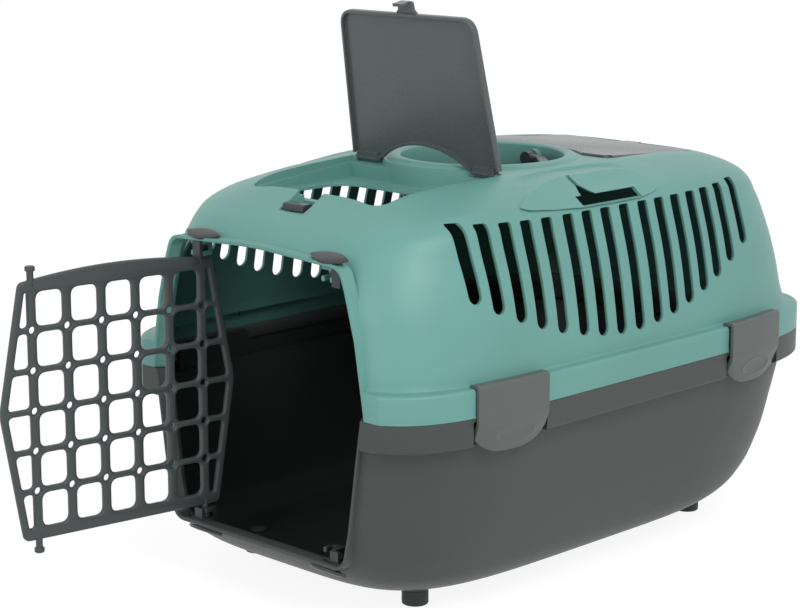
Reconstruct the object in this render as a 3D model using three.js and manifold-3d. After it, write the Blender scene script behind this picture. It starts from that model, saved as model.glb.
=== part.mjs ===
// Small plastic pet carrier: a tray, a vented roof shell clipped onto it, a grille door and two roof lids.
// Millimetres. +Z is up, the doorway faces -Y, and the origin is the middle of the tray's flat underside.
import * as THREE from 'three';
import { mergeVertices } from 'three/addons/utils/BufferGeometryUtils.js';
import Module from 'manifold-3d';

const wasm = await Module();
wasm.setup();
const { Manifold, Mesh: SolidMesh } = wasm;

// Shared values
const wall = 2.8;
const gap = 0.3;
const overrun = 30;
const weldTolerance = 0.0001;
const ringPoints = 40;
const bowlFacets = 48;
const barrelFacets = 16;
const footFacets = 20;
const bulgeFacets = 14;
const nodeHoleFacets = 8;
const quarterTurn = Math.PI / 2;
const halfTurn = Math.PI;

// Plan of the two shells at their joint; the front end is cut off flat for the doorway
const rimHalfWidth = 185;
const rimFrontLength = 280;
const rearShortfall = 5;
const frontFlat = 12;
const rimSquareness = 5.6;
const bandInset = 10;
const bandRound = 1.6;
const rimRearLength = rimFrontLength - rearShortfall;
const frontPlane = rimFrontLength - frontFlat;

// Tray
const trayDepth = 158;
const trayBandHeight = 23.5;
const trayFlare = 55;
const trayFrontFlare = 60;
const rimLipHeight = 4;
const rimLipThickness = 2.4;
const trayWallHeight = trayDepth - trayBandHeight;

// Heights are shares of the wall below the band, insets are shares of the flare at the sides and the front.
const trayStationShares = [
  { height: 0, inset: 1, front: 1, squareness: 4.2 },
  { height: 0.011, inset: 0.82, front: 0.83, squareness: 4.4 },
  { height: 0.037, inset: 0.66, front: 0.67, squareness: 4.6 },
  { height: 0.074, inset: 0.55, front: 0.5, squareness: 4.8 },
  { height: 0.134, inset: 0.445, front: 0.33, squareness: 5.0 },
  { height: 0.223, inset: 0.364, front: 0.17, squareness: 5.0 },
  { height: 0.431, inset: 0.236, front: 0.03, squareness: 5.1 },
  { height: 0.751, inset: 0.109, front: 0, squareness: 5.3 },
  { height: 1, inset: 0.027, front: 0, squareness: 5.6 },
];

// Roof shell
const roofBandHeight = 23;
const roofRise = 145;
const shoulderInset = 75;
const frontSlopeInset = 90;
const crownDrop = 10;
const frontSlopeStartShare = 0.703;
const roofBase = trayDepth + gap;
const shelfHeight = trayDepth + roofBandHeight;
const crownHeight = shelfHeight + roofRise;

// Heights are shares of the rise above the band, insets are shares of the shoulder and of the front slope.
// The front leans back from frontSlopeStartShare on.
const roofStationShares = [
  { height: 0.014, inset: 0, front: 0, squareness: 5.6 },
  { height: 0.097, inset: 0.02, front: 0, squareness: 5.3 },
  { height: 0.414, inset: 0.113, front: 0.01, squareness: 5.1 },
  { height: frontSlopeStartShare, inset: 0.24, front: 0.044, squareness: 4.9 },
  { height: 0.759, inset: 0.28, front: 0.2, squareness: 4.9 },
  { height: 0.828, inset: 0.329, front: 0.35, squareness: 4.8 },
  { height: 0.924, inset: 0.472, front: 0.6, squareness: 4.8 },
  { height: 0.959, inset: 0.569, front: 0.68, squareness: 4.7 },
  { height: 0.986, inset: 0.691, front: 0.745, squareness: 4.6 },
  { height: 0.997, inset: 0.787, front: 0.83, squareness: 4.4 },
  { height: 1, inset: 1, front: 1, squareness: 4.2 },
];
const roofTopShares = [0.6, 0.2];

// Doorway: an opening in the flat front. It is widest at the foot of the roof, where it keeps its distance
// from the sides; every other half width is that one less a step. The lintel stays below the front slope.
const doorwayFromSide = 60;
const sillShare = 0.2215;
const sillInset = 25;
const sillCornerRadius = 12;
const lowerJambAboveSill = 30;
const lowerJambInset = 18;
const middleJambBelowJoint = 38;
const middleJambInset = 10;
const trayJambInset = 4;
const upperJambAboveJoint = 60;
const upperJambInset = 10.2;
const topJambBelowLintel = 16;
const topJambInset = 21;
const lintelBelowSlope = 10.935;
const lintelCornerInset = 27;
const lintelCornerRadius = 14;
const lintelArch = 4.5;
const jambRound = 40;
const lintelRound = 420;
const collarThickness = 3.2;
const collarDepth = 12;
const collarNarrowing = 5;
const collarTaperDepth = 8;
const doorwayHalfWidth = rimHalfWidth - doorwayFromSide;
const sillHeight = sillShare * trayDepth;
const lintelCornerHeight = shelfHeight + frontSlopeStartShare * roofRise - lintelBelowSlope;
const lintelCornerHalfWidth = doorwayHalfWidth - lintelCornerInset;
const lintelHeight = lintelCornerHeight + lintelArch;

// Grille door: it fills the doorway but for a step at each height
const doorThickness = 5;
const doorAboveSill = 11.5;
const doorWaistBelowJoint = 6;
const doorBelowLintel = 14;
const doorArch = 7.1;
const doorBottomInset = 34;
const doorWaistInset = 16.8;
const doorTopInset = 36.4;
const doorCornerRadius = 5;
const doorWaistRadius = 24;
const doorHoleColumns = 5;
const doorHoleRows = 6;
const doorGridSide = 10.6;
const doorGridBelow = 7.5;
const doorGridAbove = 5.8;
const doorBarWidth = 7.2;
const doorRowBar = 4.8;
const doorSideBorder = 6;
const doorHoleRadius = 6.5;
const doorSideHoleRadius = 3;
const doorNodeHoleRadius = 2.9;
const doorRestAngle = 98;
const doorBottom = sillHeight + doorAboveSill;
const doorWaistHeight = trayDepth - doorWaistBelowJoint;
const doorCrown = lintelHeight - doorBelowLintel;
const doorTopCorner = doorCrown - doorArch;
const doorBottomHalfWidth = doorwayHalfWidth - doorBottomInset;
const doorWaistHalfWidth = doorwayHalfWidth - doorWaistInset;
const doorTopHalfWidth = doorwayHalfWidth - doorTopInset;
const doorGridHalf = doorTopHalfWidth - doorGridSide;
const doorGridBottom = doorBottom + doorGridBelow;
const doorColumnPitch = (2 * doorGridHalf) / doorHoleColumns;
const doorRowPitch = (doorTopCorner - doorGridAbove - doorGridBottom) / doorHoleRows;

// Door pins, the sockets that hold them and the levers that gate the sockets
const pinFromCorner = 10.8;
const pinDepth = 12.5;
const pinNeckRadius = 2.8;
const pinHeadRadius = 4.1;
const pinNeckLength = 7;
const pinHeadLength = 4;
const pinClearance = 0.4;
const socketHalfWidth = 6.4;
const socketThickness = 4;
const socketStandOff = 2;
const socketWebThickness = 3.6;
const lintelBridgeDepth = 9;
const sillBridgeDepth = 4;
const gateWidth = 9;
const gateThickness = 3;
const leverTravel = 9;
const leverLength = 42;
const leverWidth = 12;
const leverThickness = 3;
const leverTilt = 25;
const leverStandOff = 3.4;
const leverBow = 2.2;
const leverLeafShift = 8;
const pinOffset = doorTopHalfWidth - pinFromCorner;
const pinY = pinDepth - frontPlane;

// Side vents: the row ends short of both ends of the roof, and its lower edge bows down towards the shelf
const ventCount = 16;
const ventFromFront = 93.5;
const ventFromRear = 110.8;
const ventWidth = 12.6;
const ventBelowCrown = 29;
const ventAboveShelf = 13;
const ventArcRise = 51;
const ventTopRadius = 2;
const ventTop = crownHeight - ventBelowCrown;
const ventDeepest = shelfHeight + ventAboveShelf;
const ventPitch = (rimFrontLength + rimRearLength - ventFromFront - ventFromRear) / (ventCount - 1);
const ventFirst = ventFromFront - rimFrontLength;

// Seat-belt guides on both shoulders
const beltGuideRadius = 36;
const beltGuideFromFront = 105;
const beltGuideMiddle = -12;
const beltGuideFromSide = 65;
const beltGuideBelowCrown = 35;
const beltSlotLength = 71.5;
const beltSlotWidth = 7.2;
const beltSlotMiddle = -5.8;
const beltSlotBelowCrown = 22.2;
const beltEntryWidth = 4.5;
const beltEntryMiddle = -26.2;
const beltCutDepth = 14;
const beltGuideLength = rimFrontLength - beltGuideFromFront;
const beltGuideOut = rimHalfWidth - beltGuideFromSide;
const beltGuideHeight = crownHeight - beltGuideBelowCrown;
const beltSlotHeight = crownHeight - beltSlotBelowCrown;
const beltCutInner = beltGuideOut - beltCutDepth;

// Bowl in the middle of the roof and the folding handle in it
const bowlRadius = 78;
const bowlFoot = 7;
const bowlDepth = 36;
const bowlRimWidth = 5;
const bowlRimRise = 2;
const bowlStepWidth = 3.4;
const bowlStepRise = 0.6;
const handlePivotBelowCrown = 11.5;
const handleEyeRadius = 6.2;
const handleEyeLength = 9;
const handleEyeFromWall = 12.5;
const handleFromWall = 26.5;
const handleGripFromWall = 44;
const handleGripWidth = 11;
const handleShoulder = 16;
const handleThickness = 8.4;
const handleBevel = 2;
const handleBend = 22;
const handleInnerBend = 14;
const handleStubRadius = 3.1;
const handleStubLength = 7;
const handleBossRadius = 7.4;
const bowlFloorRadius = bowlRadius - bowlFoot;
const bowlFloor = crownHeight - bowlDepth;
const handlePivotHeight = crownHeight - handlePivotBelowCrown;
const handleEyeOuter = bowlRadius - handleEyeFromWall;
const handleEyeInner = handleEyeOuter - handleEyeLength;
const handleReach = bowlRadius - handleFromWall;
const handleGripHalf = bowlRadius - handleGripFromWall;

// Roof lids, their pans and their hinges
const lidHingeInBowl = 8;
const lidPastCrown = 22;
const lidBesideBowl = 8;
const lidSideInset = 9;
const lidThickness = 2.6;
const lidCornerRadius = 15;
const lidRimDepth = 3.4;
const lidRimThickness = 2.2;
const lidRimInset = 5.4;
const lidClearance = 0.6;
const lidArchClearance = 1.8;
const lidSink = 0.6;
const lidBarrelRadius = 2.8;
const lidStubLength = 3.4;
const lidStubRadius = 2;
const lidFootCut = 8;
const lidRestAngle = 83;
const lidTabWidth = 17;
const lidTabLength = 10;
const lidTabFlare = 3;
const lidTabRound = 3;
const lidNibDrop = 8.6;
const lidNibThickness = 2.4;
const panLedge = 4.6;
const panDepth = 24;
const openingFromHinge = 36;
const openingFromEdge = 13;
const openingRadius = 22;
const lidHinge = bowlRadius - lidHingeInBowl;
const lidEnd = rimFrontLength - bandInset - frontSlopeInset + lidPastCrown;
const lidLength = lidEnd - lidHinge;
const lidHingeHalfWidth = bowlRadius + lidBesideBowl;
const lidFreeHalfWidth = lidHingeHalfWidth - lidSideInset;
const panFloorHeight = crownHeight - panDepth;

// Lid catches in their notches at the ends of the roof
const notchHalfWidth = 14.4;
const notchLength = 30;
const notchDepth = 26;
const catchBeyondLid = 16;
const catchWidth = 27;
const catchDepth = 11;
const catchHeight = 5.6;
const catchTravel = 3;
const catchRound = 2.4;
const catchStemWidth = 9;
const catchStemDepth = 3.4;
const catchFootWidth = 14;
const catchFootDepth = 5;
const catchFootThickness = 2;
const notchEnd = lidEnd + notchLength;
const notchFloor = crownHeight - notchDepth;
const catchMiddle = lidEnd + catchBeyondLid;

// Side clips; their heights count down from the joint of the shells
const clipFromEnd = 117.5;
const clipWidth = 84;
const clipSlit = 2.4;
const clipPlate = 3;
const clipStandOff = 0.8;
const clipPivotBelowJoint = 11;
const clipPivotInset = 6;
const clipBarrelRadius = 2.9;
const clipStubRadius = 1.9;
const clipEarThickness = 2.6;
const clipHookReach = 7;
const clipHookThickness = 2.6;
const clipHookRound = 2;
const clipTabBelowJoint = 30.5;
const clipTabSetback = 3.4;
const clipCreaseBelowJoint = 5.5;
const clipCornerRadius = 14;
const clipLinkThickness = 4;
const clipPocketDepth = 9.4;
const clipDishHalfLength = 19;
const clipDishHalfHeight = 6.5;
const clipDishDepth = 1.5;
const clipDishBelowJoint = 18.5;
const clipPlace = rimFrontLength - clipFromEnd;
const clipPivotHeight = trayDepth - clipPivotBelowJoint;
const clipTabBottom = trayDepth - clipTabBelowJoint;
const clipCreaseHeight = trayDepth - clipCreaseBelowJoint;
const clipDishHeight = trayDepth - clipDishBelowJoint;

// Feet, under the corners of the tray's flat bottom
const footRadius = 11;
const footBossRadius = 12.6;
const footBossDrop = 3;
const footBossHeight = 12;
const footHeight = 16;
const footRound = 1.5;
const footSpigotRadius = 5;
const footHeadRadius = 7.5;
const footHeadThickness = 2;
const footFromSide = 24;
const footFromFront = 29;
const footFromRear = 31;
const footX = rimHalfWidth - bandInset - trayFlare - footFromSide;
const footFrontY = rimFrontLength - bandInset - trayFrontFlare - footFromFront;
const footRearY = rimRearLength - bandInset - trayFlare - footFromRear;

// Turns any closed three.js geometry into a solid for cutting and joining.
function solid(geometry) {
  const plain = geometry.clone();
  plain.deleteAttribute('normal');
  plain.deleteAttribute('uv');
  const welded = mergeVertices(plain, weldTolerance);
  const mesh = new SolidMesh({
    numProp: 3,
    vertProperties: new Float32Array(welded.attributes.position.array),
    triVerts: new Uint32Array(welded.index.array),
  });
  return new Manifold(mesh);
}

// Turns a finished solid back into a three.js geometry.
function geometryOf(body) {
  const mesh = body.getMesh();
  const geometry = new THREE.BufferGeometry();
  geometry.setAttribute('position', new THREE.BufferAttribute(new Float32Array(mesh.vertProperties), 3));
  geometry.setIndex(new THREE.BufferAttribute(new Uint32Array(mesh.triVerts), 1));
  geometry.computeVertexNormals();
  return geometry;
}

// Skins a stack of rings with equal point counts, and closes both ends with a fan.
function loft(rings) {
  const count = rings[0].length;
  const positions = [];
  const faces = [];
  for (const ring of rings) {
    for (const point of ring) positions.push(point.x, point.y, point.z);
  }
  for (let level = 0; level + 1 < rings.length; level += 1) {
    for (let step = 0; step < count; step += 1) {
      const next = (step + 1) % count;
      const low = level * count;
      const high = low + count;
      faces.push(low + step, low + next, high + next);
      faces.push(low + step, high + next, high + step);
    }
  }
  const closeEnd = (ring, first, reversed) => {
    const middle = new THREE.Vector3();
    for (const point of ring) middle.add(point);
    middle.divideScalar(count);
    const hub = positions.length / 3;
    positions.push(middle.x, middle.y, middle.z);
    for (let step = 0; step < count; step += 1) {
      const next = (step + 1) % count;
      if (reversed) faces.push(hub, first + next, first + step);
      else faces.push(hub, first + step, first + next);
    }
  };
  closeEnd(rings[0], 0, true);
  closeEnd(rings[rings.length - 1], (rings.length - 1) * count, false);
  const geometry = new THREE.BufferGeometry();
  geometry.setAttribute('position', new THREE.Float32BufferAttribute(positions, 3));
  geometry.setIndex(faces);
  return geometry;
}

// One level of a shell: a superellipse with its own front and rear length, lowered towards both ends.
function planRing(halfWidth, frontLength, rearLength, squareness, height, endDrop) {
  const ring = [];
  const power = 2 / squareness;
  for (let step = 0; step < ringPoints; step += 1) {
    const turn = (2 * Math.PI * step) / ringPoints;
    const across = Math.cos(turn);
    const along = Math.sin(turn);
    const x = halfWidth * Math.sign(across) * Math.abs(across) ** power;
    const reach = along < 0 ? frontLength : rearLength;
    const y = reach * Math.sign(along) * Math.abs(along) ** power;
    ring.push(new THREE.Vector3(x, y, height - endDrop * (y / lidEnd) ** 2));
  }
  return ring;
}

// Moves a profile of {height, inset, front} levels inwards by one wall, square to its side slope.
function thinned(levels) {
  return levels.map((level, index) => {
    const before = levels[Math.max(index - 1, 0)];
    const after = levels[Math.min(index + 1, levels.length - 1)];
    const rise = after.height - before.height;
    const run = after.inset - before.inset;
    const size = Math.hypot(rise, run);
    const inwards = (wall * rise) / size;
    const down = (wall * run) / size;
    return {
      height: level.height - down,
      inset: level.inset + inwards,
      front: level.front + inwards,
      squareness: level.squareness,
      drop: level.drop,
    };
  });
}

function levelRings(levels) {
  return levels.map((level) => planRing(
    rimHalfWidth - level.inset,
    rimFrontLength - level.front,
    rimRearLength - level.inset,
    level.squareness,
    level.height,
    level.drop,
  ));
}

function boxBetween(low, high) {
  const size = high.map((value, axis) => value - low[axis]);
  const geometry = new THREE.BoxGeometry(...size);
  return geometry.translate(...low.map((value, axis) => value + size[axis] / 2));
}

// Prisms: an outline drawn in the plane square to the named axis, run between two places on it.
function alongZ(shape, from, to, curveSegments = 4) {
  const options = { depth: to - from, bevelEnabled: false, curveSegments };
  return new THREE.ExtrudeGeometry(shape, options).translate(0, 0, from);
}

function alongY(shape, from, to, curveSegments = 4) {
  return alongZ(shape, -to, -from, curveSegments).rotateX(quarterTurn);
}

function alongX(shape, from, to, curveSegments = 4) {
  const turned = new THREE.Matrix4().makeBasis(
    new THREE.Vector3(0, 1, 0),
    new THREE.Vector3(0, 0, 1),
    new THREE.Vector3(1, 0, 0),
  );
  return alongZ(shape, from, to, curveSegments).applyMatrix4(turned);
}

function rodY(radius, from, to, facets = barrelFacets) {
  return new THREE.CylinderGeometry(radius, radius, to - from, facets).translate(0, (from + to) / 2, 0);
}

function rodX(radius, from, to, facets = barrelFacets) {
  return rodY(radius, from, to, facets).rotateZ(-quarterTurn);
}

function rodZ(radius, from, to, facets = barrelFacets) {
  return rodY(radius, from, to, facets).rotateX(quarterTurn);
}

// Closed outline through [x, y, radius] corners; a corner with a radius is rounded.
function roundedOutline(corners, target = new THREE.Shape()) {
  const count = corners.length;
  const at = (index) => new THREE.Vector2(...corners[(index + count) % count].slice(0, 2));
  for (let index = 0; index < count; index += 1) {
    const corner = at(index);
    const radius = corners[index][2] ?? 0;
    const before = at(index - 1).sub(corner);
    const after = at(index + 1).sub(corner);
    const cosine = before.dot(after) / (before.length() * after.length());
    const angle = Math.acos(THREE.MathUtils.clamp(cosine, -1, 1));
    const limit = Math.min(before.length(), after.length()) / 2;
    const cut = radius > 0 ? Math.min(radius / Math.tan(angle / 2), limit) : 0;
    const enter = before.setLength(1).multiplyScalar(cut).add(corner);
    const leave = after.setLength(1).multiplyScalar(cut).add(corner);
    if (index === 0) target.moveTo(enter.x, enter.y);
    else target.lineTo(enter.x, enter.y);
    if (cut > 0) target.quadraticCurveTo(corner.x, corner.y, leave.x, leave.y);
  }
  target.closePath();
  return target;
}

// Moves every side of a counterclockwise outline outwards, keeping its corners.
function grown(corners, distance) {
  const count = corners.length;
  return corners.map((corner, index) => {
    const [x, y, radius = 0] = corner;
    const last = corners[(index + count - 1) % count];
    const next = corners[(index + 1) % count];
    const first = new THREE.Vector2(y - last[1], last[0] - x).normalize();
    const second = new THREE.Vector2(next[1] - y, x - next[0]).normalize();
    const mitre = first.clone().add(second);
    mitre.multiplyScalar(distance / (1 + first.dot(second)));
    return [x + mitre.x, y + mitre.y, radius > 0 ? Math.max(radius + distance, 0) : 0];
  });
}

// Completes a right-hand list of corners, going up, with its mirror image on the left.
function bothSides(rightCorners) {
  const left = rightCorners.map(([x, y, radius]) => [-x, y, radius]).reverse();
  return [...rightCorners, ...left.filter(([x]) => Math.abs(x) > 0)];
}

function bandLevel(inset, height) {
  return { height, inset, front: inset, squareness: rimSquareness, drop: 0 };
}

function trayWallLevels() {
  return trayStationShares.map((share) => ({
    height: share.height * trayWallHeight,
    inset: bandInset + share.inset * trayFlare,
    front: bandInset + share.front * trayFrontFlare,
    squareness: share.squareness,
    drop: 0,
  }));
}

function trayOutside() {
  return [
    ...trayWallLevels(),
    bandLevel(bandRound, trayWallHeight + bandRound),
    bandLevel(0, trayWallHeight + 2 * bandRound),
    bandLevel(0, trayDepth),
  ];
}

function trayInside() {
  const walls = thinned(trayWallLevels());
  walls[0].height = wall;
  const ledge = { ...walls[walls.length - 1], height: trayWallHeight + wall };
  const band = [bandLevel(wall, trayWallHeight + wall), bandLevel(wall, trayDepth + overrun)];
  return [...walls.slice(0, -1), ledge, ...band];
}

function roofWallLevels() {
  return roofStationShares.map((share) => ({
    height: shelfHeight + share.height * roofRise,
    inset: bandInset + share.inset * shoulderInset,
    front: bandInset + share.front * frontSlopeInset,
    squareness: share.squareness,
    drop: crownDrop * share.height ** 2,
  }));
}

function roofOutside() {
  return [
    bandLevel(0, roofBase),
    bandLevel(0, shelfHeight - 2 * bandRound),
    bandLevel(bandRound, shelfHeight - bandRound / 2),
    bandLevel(bandInset - bandRound, shelfHeight),
    ...roofWallLevels(),
  ];
}

function roofInside() {
  const walls = thinned(roofWallLevels());
  const ledge = { ...walls[0], height: shelfHeight - wall };
  return [
    bandLevel(wall, roofBase - overrun),
    bandLevel(wall, shelfHeight - wall - gap),
    ledge,
    ...walls.slice(1),
  ];
}

// Rings over the nearly flat middle of the roof.
function roofTopRings(levels) {
  const last = levels[levels.length - 1];
  return roofTopShares.map((share) => planRing(
    share * (rimHalfWidth - last.inset),
    share * (rimFrontLength - last.front),
    share * (rimRearLength - last.inset),
    last.squareness,
    last.height,
    last.drop,
  ));
}

// Doorway outlines, in X and Z
function trayDoorway() {
  return bothSides([
    [doorwayHalfWidth - sillInset, sillHeight, sillCornerRadius],
    [doorwayHalfWidth - lowerJambInset, sillHeight + lowerJambAboveSill, jambRound],
    [doorwayHalfWidth - middleJambInset, trayDepth - middleJambBelowJoint, jambRound],
    [doorwayHalfWidth - trayJambInset, trayDepth, 0],
    [doorwayHalfWidth - trayJambInset, trayDepth + overrun, 0],
  ]);
}

function roofDoorway() {
  return bothSides([
    [doorwayHalfWidth, roofBase - overrun, 0],
    [doorwayHalfWidth, roofBase, jambRound / 2],
    [doorwayHalfWidth - upperJambInset, trayDepth + upperJambAboveJoint, jambRound],
    [doorwayHalfWidth - topJambInset, lintelCornerHeight - topJambBelowLintel, jambRound / 2],
    [lintelCornerHalfWidth, lintelCornerHeight, lintelCornerRadius],
    [0, lintelHeight, lintelRound],
  ]);
}

function doorwayRing(corners, y) {
  const points = roundedOutline(corners).getPoints(3).slice(0, -1);
  return points.map((point) => new THREE.Vector3(point.x, y, point.y));
}

// The opening's sides close in behind its front edge, then it runs on into the cabin.
function doorwayVoid(corners) {
  const narrow = corners.map(([x, z, radius]) => [x - Math.sign(x) * collarNarrowing, z, radius]);
  return solid(loft([
    doorwayRing(narrow, collarDepth + overrun - frontPlane),
    doorwayRing(narrow, collarTaperDepth - frontPlane),
    doorwayRing(corners, -frontPlane),
    doorwayRing(corners, -frontPlane - overrun),
  ]));
}

function doorwayCollar(corners) {
  const outline = roundedOutline(grown(corners, collarThickness));
  return solid(alongY(outline, -frontPlane, collarDepth - frontPlane, 3));
}

// One C-shaped socket for a door pin, open to the front. side is -1 or 1 in X; up is 1 at the lintel and
// -1 at the sill.
function pinSocket(side, up) {
  const neckEnd = up > 0 ? archHeight(pinOffset) : doorBottom;
  const faceNear = neckEnd + up * socketStandOff;
  const faceFar = faceNear + up * socketThickness;
  const bridgeNear = neckEnd + up * (pinNeckLength + pinHeadLength + pinClearance);
  const bridgeFar = bridgeNear + up * (up > 0 ? lintelBridgeDepth : sillBridgeDepth);
  const front = pinY - pinHeadRadius;
  const webFront = pinY + pinHeadRadius + pinClearance;
  const webBack = webFront + socketWebThickness;
  const x = side * pinOffset;
  const block = (yFrom, yTo, zFrom, zTo) => solid(boxBetween(
    [x - socketHalfWidth, yFrom, Math.min(zFrom, zTo)],
    [x + socketHalfWidth, yTo, Math.max(zFrom, zTo)],
  ));
  const slotHalf = pinNeckRadius + pinClearance;
  const slotEnd = solid(rodZ(slotHalf, faceNear - overrun, faceNear + overrun).translate(x, pinY, 0));
  const slot = solid(boxBetween(
    [x - slotHalf, front - overrun, faceNear - overrun],
    [x + slotHalf, pinY, faceNear + overrun],
  )).add(slotEnd);
  return block(front, webBack, faceNear, faceFar)
    .subtract(slot)
    .add(block(webFront, webBack, faceNear, bridgeFar))
    .add(block(front, webBack, bridgeNear, bridgeFar));
}

// Height of the door's arched top edge.
function archHeight(x) {
  return doorCrown - doorArch * (x / doorTopHalfWidth) ** 2;
}

// Where a lever's gate stands in front of its socket: its back face just clears the pin's head.
function gateBack() {
  return pinY - pinHeadRadius - gap;
}

// Levers on the left hold the hinged pins, so they rest closed; those on the right rest open, clear of the
// pins' path.
function leverPlace(side) {
  return side * (pinOffset + (side > 0 ? leverTravel : 0));
}

function gateSlot(side, up) {
  const middle = side * (pinOffset + leverTravel / 2);
  const half = (gateWidth + leverTravel) / 2 + gap;
  const level = up > 0 ? lintelCornerHeight : sillHeight;
  return solid(boxBetween(
    [middle - half, gateBack() - gateThickness - gap, level - overrun / 3],
    [middle + half, gateBack() + gap, level + overrun / 3],
  ));
}

// Height of the lintel's slanted edge
function lintelAt(x) {
  return lintelCornerHeight + lintelArch * (1 - Math.abs(x) / lintelCornerHalfWidth);
}

// A lever seen from its shell's side: a leaf-shaped thumb piece over the collar and a gate that passes
// through it.
// The one at the sill is the same piece turned over, so it is drawn with heights counted downwards.
function leverGeometry(side, up) {
  const half = leverLength / 2;
  const bulge = (leverWidth * 2) / 3;
  const outline = new THREE.Shape();
  outline.moveTo(-half, 0);
  outline.bezierCurveTo(-half / 2, -bulge - leverBow, half / 2, -bulge - leverBow, half, 0);
  outline.bezierCurveTo(half / 2, bulge, -half / 2, bulge, -half, 0);
  const collarFace = up > 0 ? lintelAt(pinOffset - half) : -sillHeight;
  const neckEnd = up > 0 ? archHeight(pinOffset) : -doorBottom;
  const seat = collarFace + collarThickness + leverStandOff;
  const leaf = alongZ(outline, 0, leverThickness, 7)
    .rotateX(THREE.MathUtils.degToRad(leverTilt))
    .translate(-side * up * leverLeafShift, gateBack() - gateThickness / 2, seat);
  const gate = boxBetween(
    [-gateWidth / 2, gateBack() - gateThickness, neckEnd + socketStandOff],
    [gateWidth / 2, gateBack(), seat + leverThickness / 2],
  );
  const geometry = geometryOf(solid(gate).add(solid(leaf)));
  return up > 0 ? geometry : geometry.rotateY(halfTurn);
}

// Height of the roof's crown line at a distance from the middle.
function crownAt(y) {
  return crownHeight - crownDrop * (y / lidEnd) ** 2;
}

function lidTilt() {
  return Math.atan2(crownAt(lidHinge) - crownAt(lidHinge + lidLength), lidLength);
}

// A lid's own frame has its hinge axis at the origin and its free edge towards -Y; its top is a barrel above.
function lidCorners(margin) {
  return [
    [-lidHingeHalfWidth - margin, lidBarrelRadius + margin, 0],
    [-lidFreeHalfWidth - margin, -lidLength - margin, lidCornerRadius + margin],
    [lidFreeHalfWidth + margin, -lidLength - margin, lidCornerRadius + margin],
    [lidHingeHalfWidth + margin, lidBarrelRadius + margin, 0],
  ];
}

// Puts something drawn in the front lid's frame where the closed lid lies.
function ontoRoof(geometry) {
  return geometry.rotateX(lidTilt()).translate(0, -lidHinge, lidAxisHeight());
}

function lidAxisHeight() {
  return crownAt(lidHinge) - lidSink - lidBarrelRadius;
}

// The lids and their pans bend round the bowl's rim.
function bowlRimRadius(margin) {
  return bowlRadius + bowlRimWidth + bowlStepWidth + margin;
}

// The hollow under the front lid: a seat as deep as the lid, and a narrower pan below. extra adds a wall.
function panHollow(extra) {
  const seat = lidBarrelRadius - lidThickness - gap;
  const seatOutline = roundedOutline(lidCorners(lidClearance + extra));
  const lidPart = solid(ontoRoof(alongZ(seatOutline, seat - extra, overrun)));
  const corners = lidCorners(extra - panLedge);
  for (const corner of [corners[0], corners[3]]) corner[1] = lidBarrelRadius + lidClearance + extra;
  const placed = corners.map(([x, y, radius]) => [x, y - lidHinge, radius]);
  const panPart = solid(alongZ(roundedOutline(placed), panFloorHeight - extra, crownHeight));
  const underSeat = solid(ontoRoof(boxBetween(
    [-rimHalfWidth, -rimFrontLength, -crownHeight],
    [rimHalfWidth, lidBarrelRadius + lidClearance + extra, seat + gap],
  )));
  const round = solid(rodZ(bowlRimRadius(lidClearance - extra), 0, crownHeight + overrun, bowlFacets));
  const hollow = lidPart.add(panPart.intersect(underSeat)).subtract(round);
  return extra > 0 ? hollow : hollow.subtract(hingeCheeks());
}

// Blocks that stay at the two ends of a lid's hinge axis, to carry its stub pins.
function hingeCheeks() {
  const inner = lidHingeHalfWidth - panLedge;
  const front = -lidBarrelRadius - lidClearance;
  const block = (from, to) => solid(ontoRoof(boxBetween([from, front, -overrun], [to, overrun, overrun])));
  return block(inner, rimHalfWidth).add(block(-rimHalfWidth, -inner));
}

// Opening through the pan's floor, behind the lid
function roofOpening() {
  const half = lidFreeHalfWidth - openingFromEdge;
  const front = lidEnd - openingFromEdge;
  const rear = lidHinge + openingFromHinge;
  const outline = roundedOutline([
    [-half, -rear, openingRadius],
    [-half, -front, openingRadius],
    [half, -front, openingRadius],
    [half, -rear, openingRadius],
  ]);
  return solid(alongZ(outline, panFloorHeight - overrun, panFloorHeight + wall, 5));
}

// Notch in the end of the roof, where the lid's tab comes down behind its catch.
function notchHollow(extra) {
  return solid(boxBetween(
    [-notchHalfWidth - extra, -notchEnd - extra, notchFloor - extra],
    [notchHalfWidth + extra, panLedge - lidEnd, crownHeight + overrun],
  ));
}

// Slot in the notch floor for the catch's stem, as long as the stem and its travel.
function catchSlot() {
  const half = catchStemWidth / 2 + gap;
  const front = -catchMiddle - catchStemDepth / 2 - gap;
  const rear = -catchMiddle + catchStemDepth / 2 + gap;
  return solid(boxBetween(
    [-half, front - catchTravel, notchFloor - overrun],
    [half, rear, notchFloor + wall],
  ));
}

// Blind bores in the seat's cheeks for the lid's two stub pins.
function stubBores() {
  const inner = lidHingeHalfWidth - panLedge - lidClearance;
  const bore = (side) => {
    const near = side * inner;
    const far = side * (inner + lidStubLength + lidClearance);
    return solid(ontoRoof(rodX(lidStubRadius + gap, Math.min(near, far), Math.max(near, far))));
  };
  return bore(1).add(bore(-1));
}

function lathe(corners, facets) {
  const profile = corners.map(([radius, height]) => new THREE.Vector2(radius, height));
  return new THREE.LatheGeometry(profile, facets).rotateX(quarterTurn);
}

function bowlHollow(extra) {
  return solid(lathe([
    [0, bowlFloor - extra],
    [bowlFloorRadius - wall, bowlFloor - extra],
    [bowlFloorRadius + extra, bowlFloor + wall],
    [bowlRadius + extra, crownHeight],
    [bowlRadius + extra, crownHeight + overrun],
    [0, crownHeight + overrun],
  ], bowlFacets));
}

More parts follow.
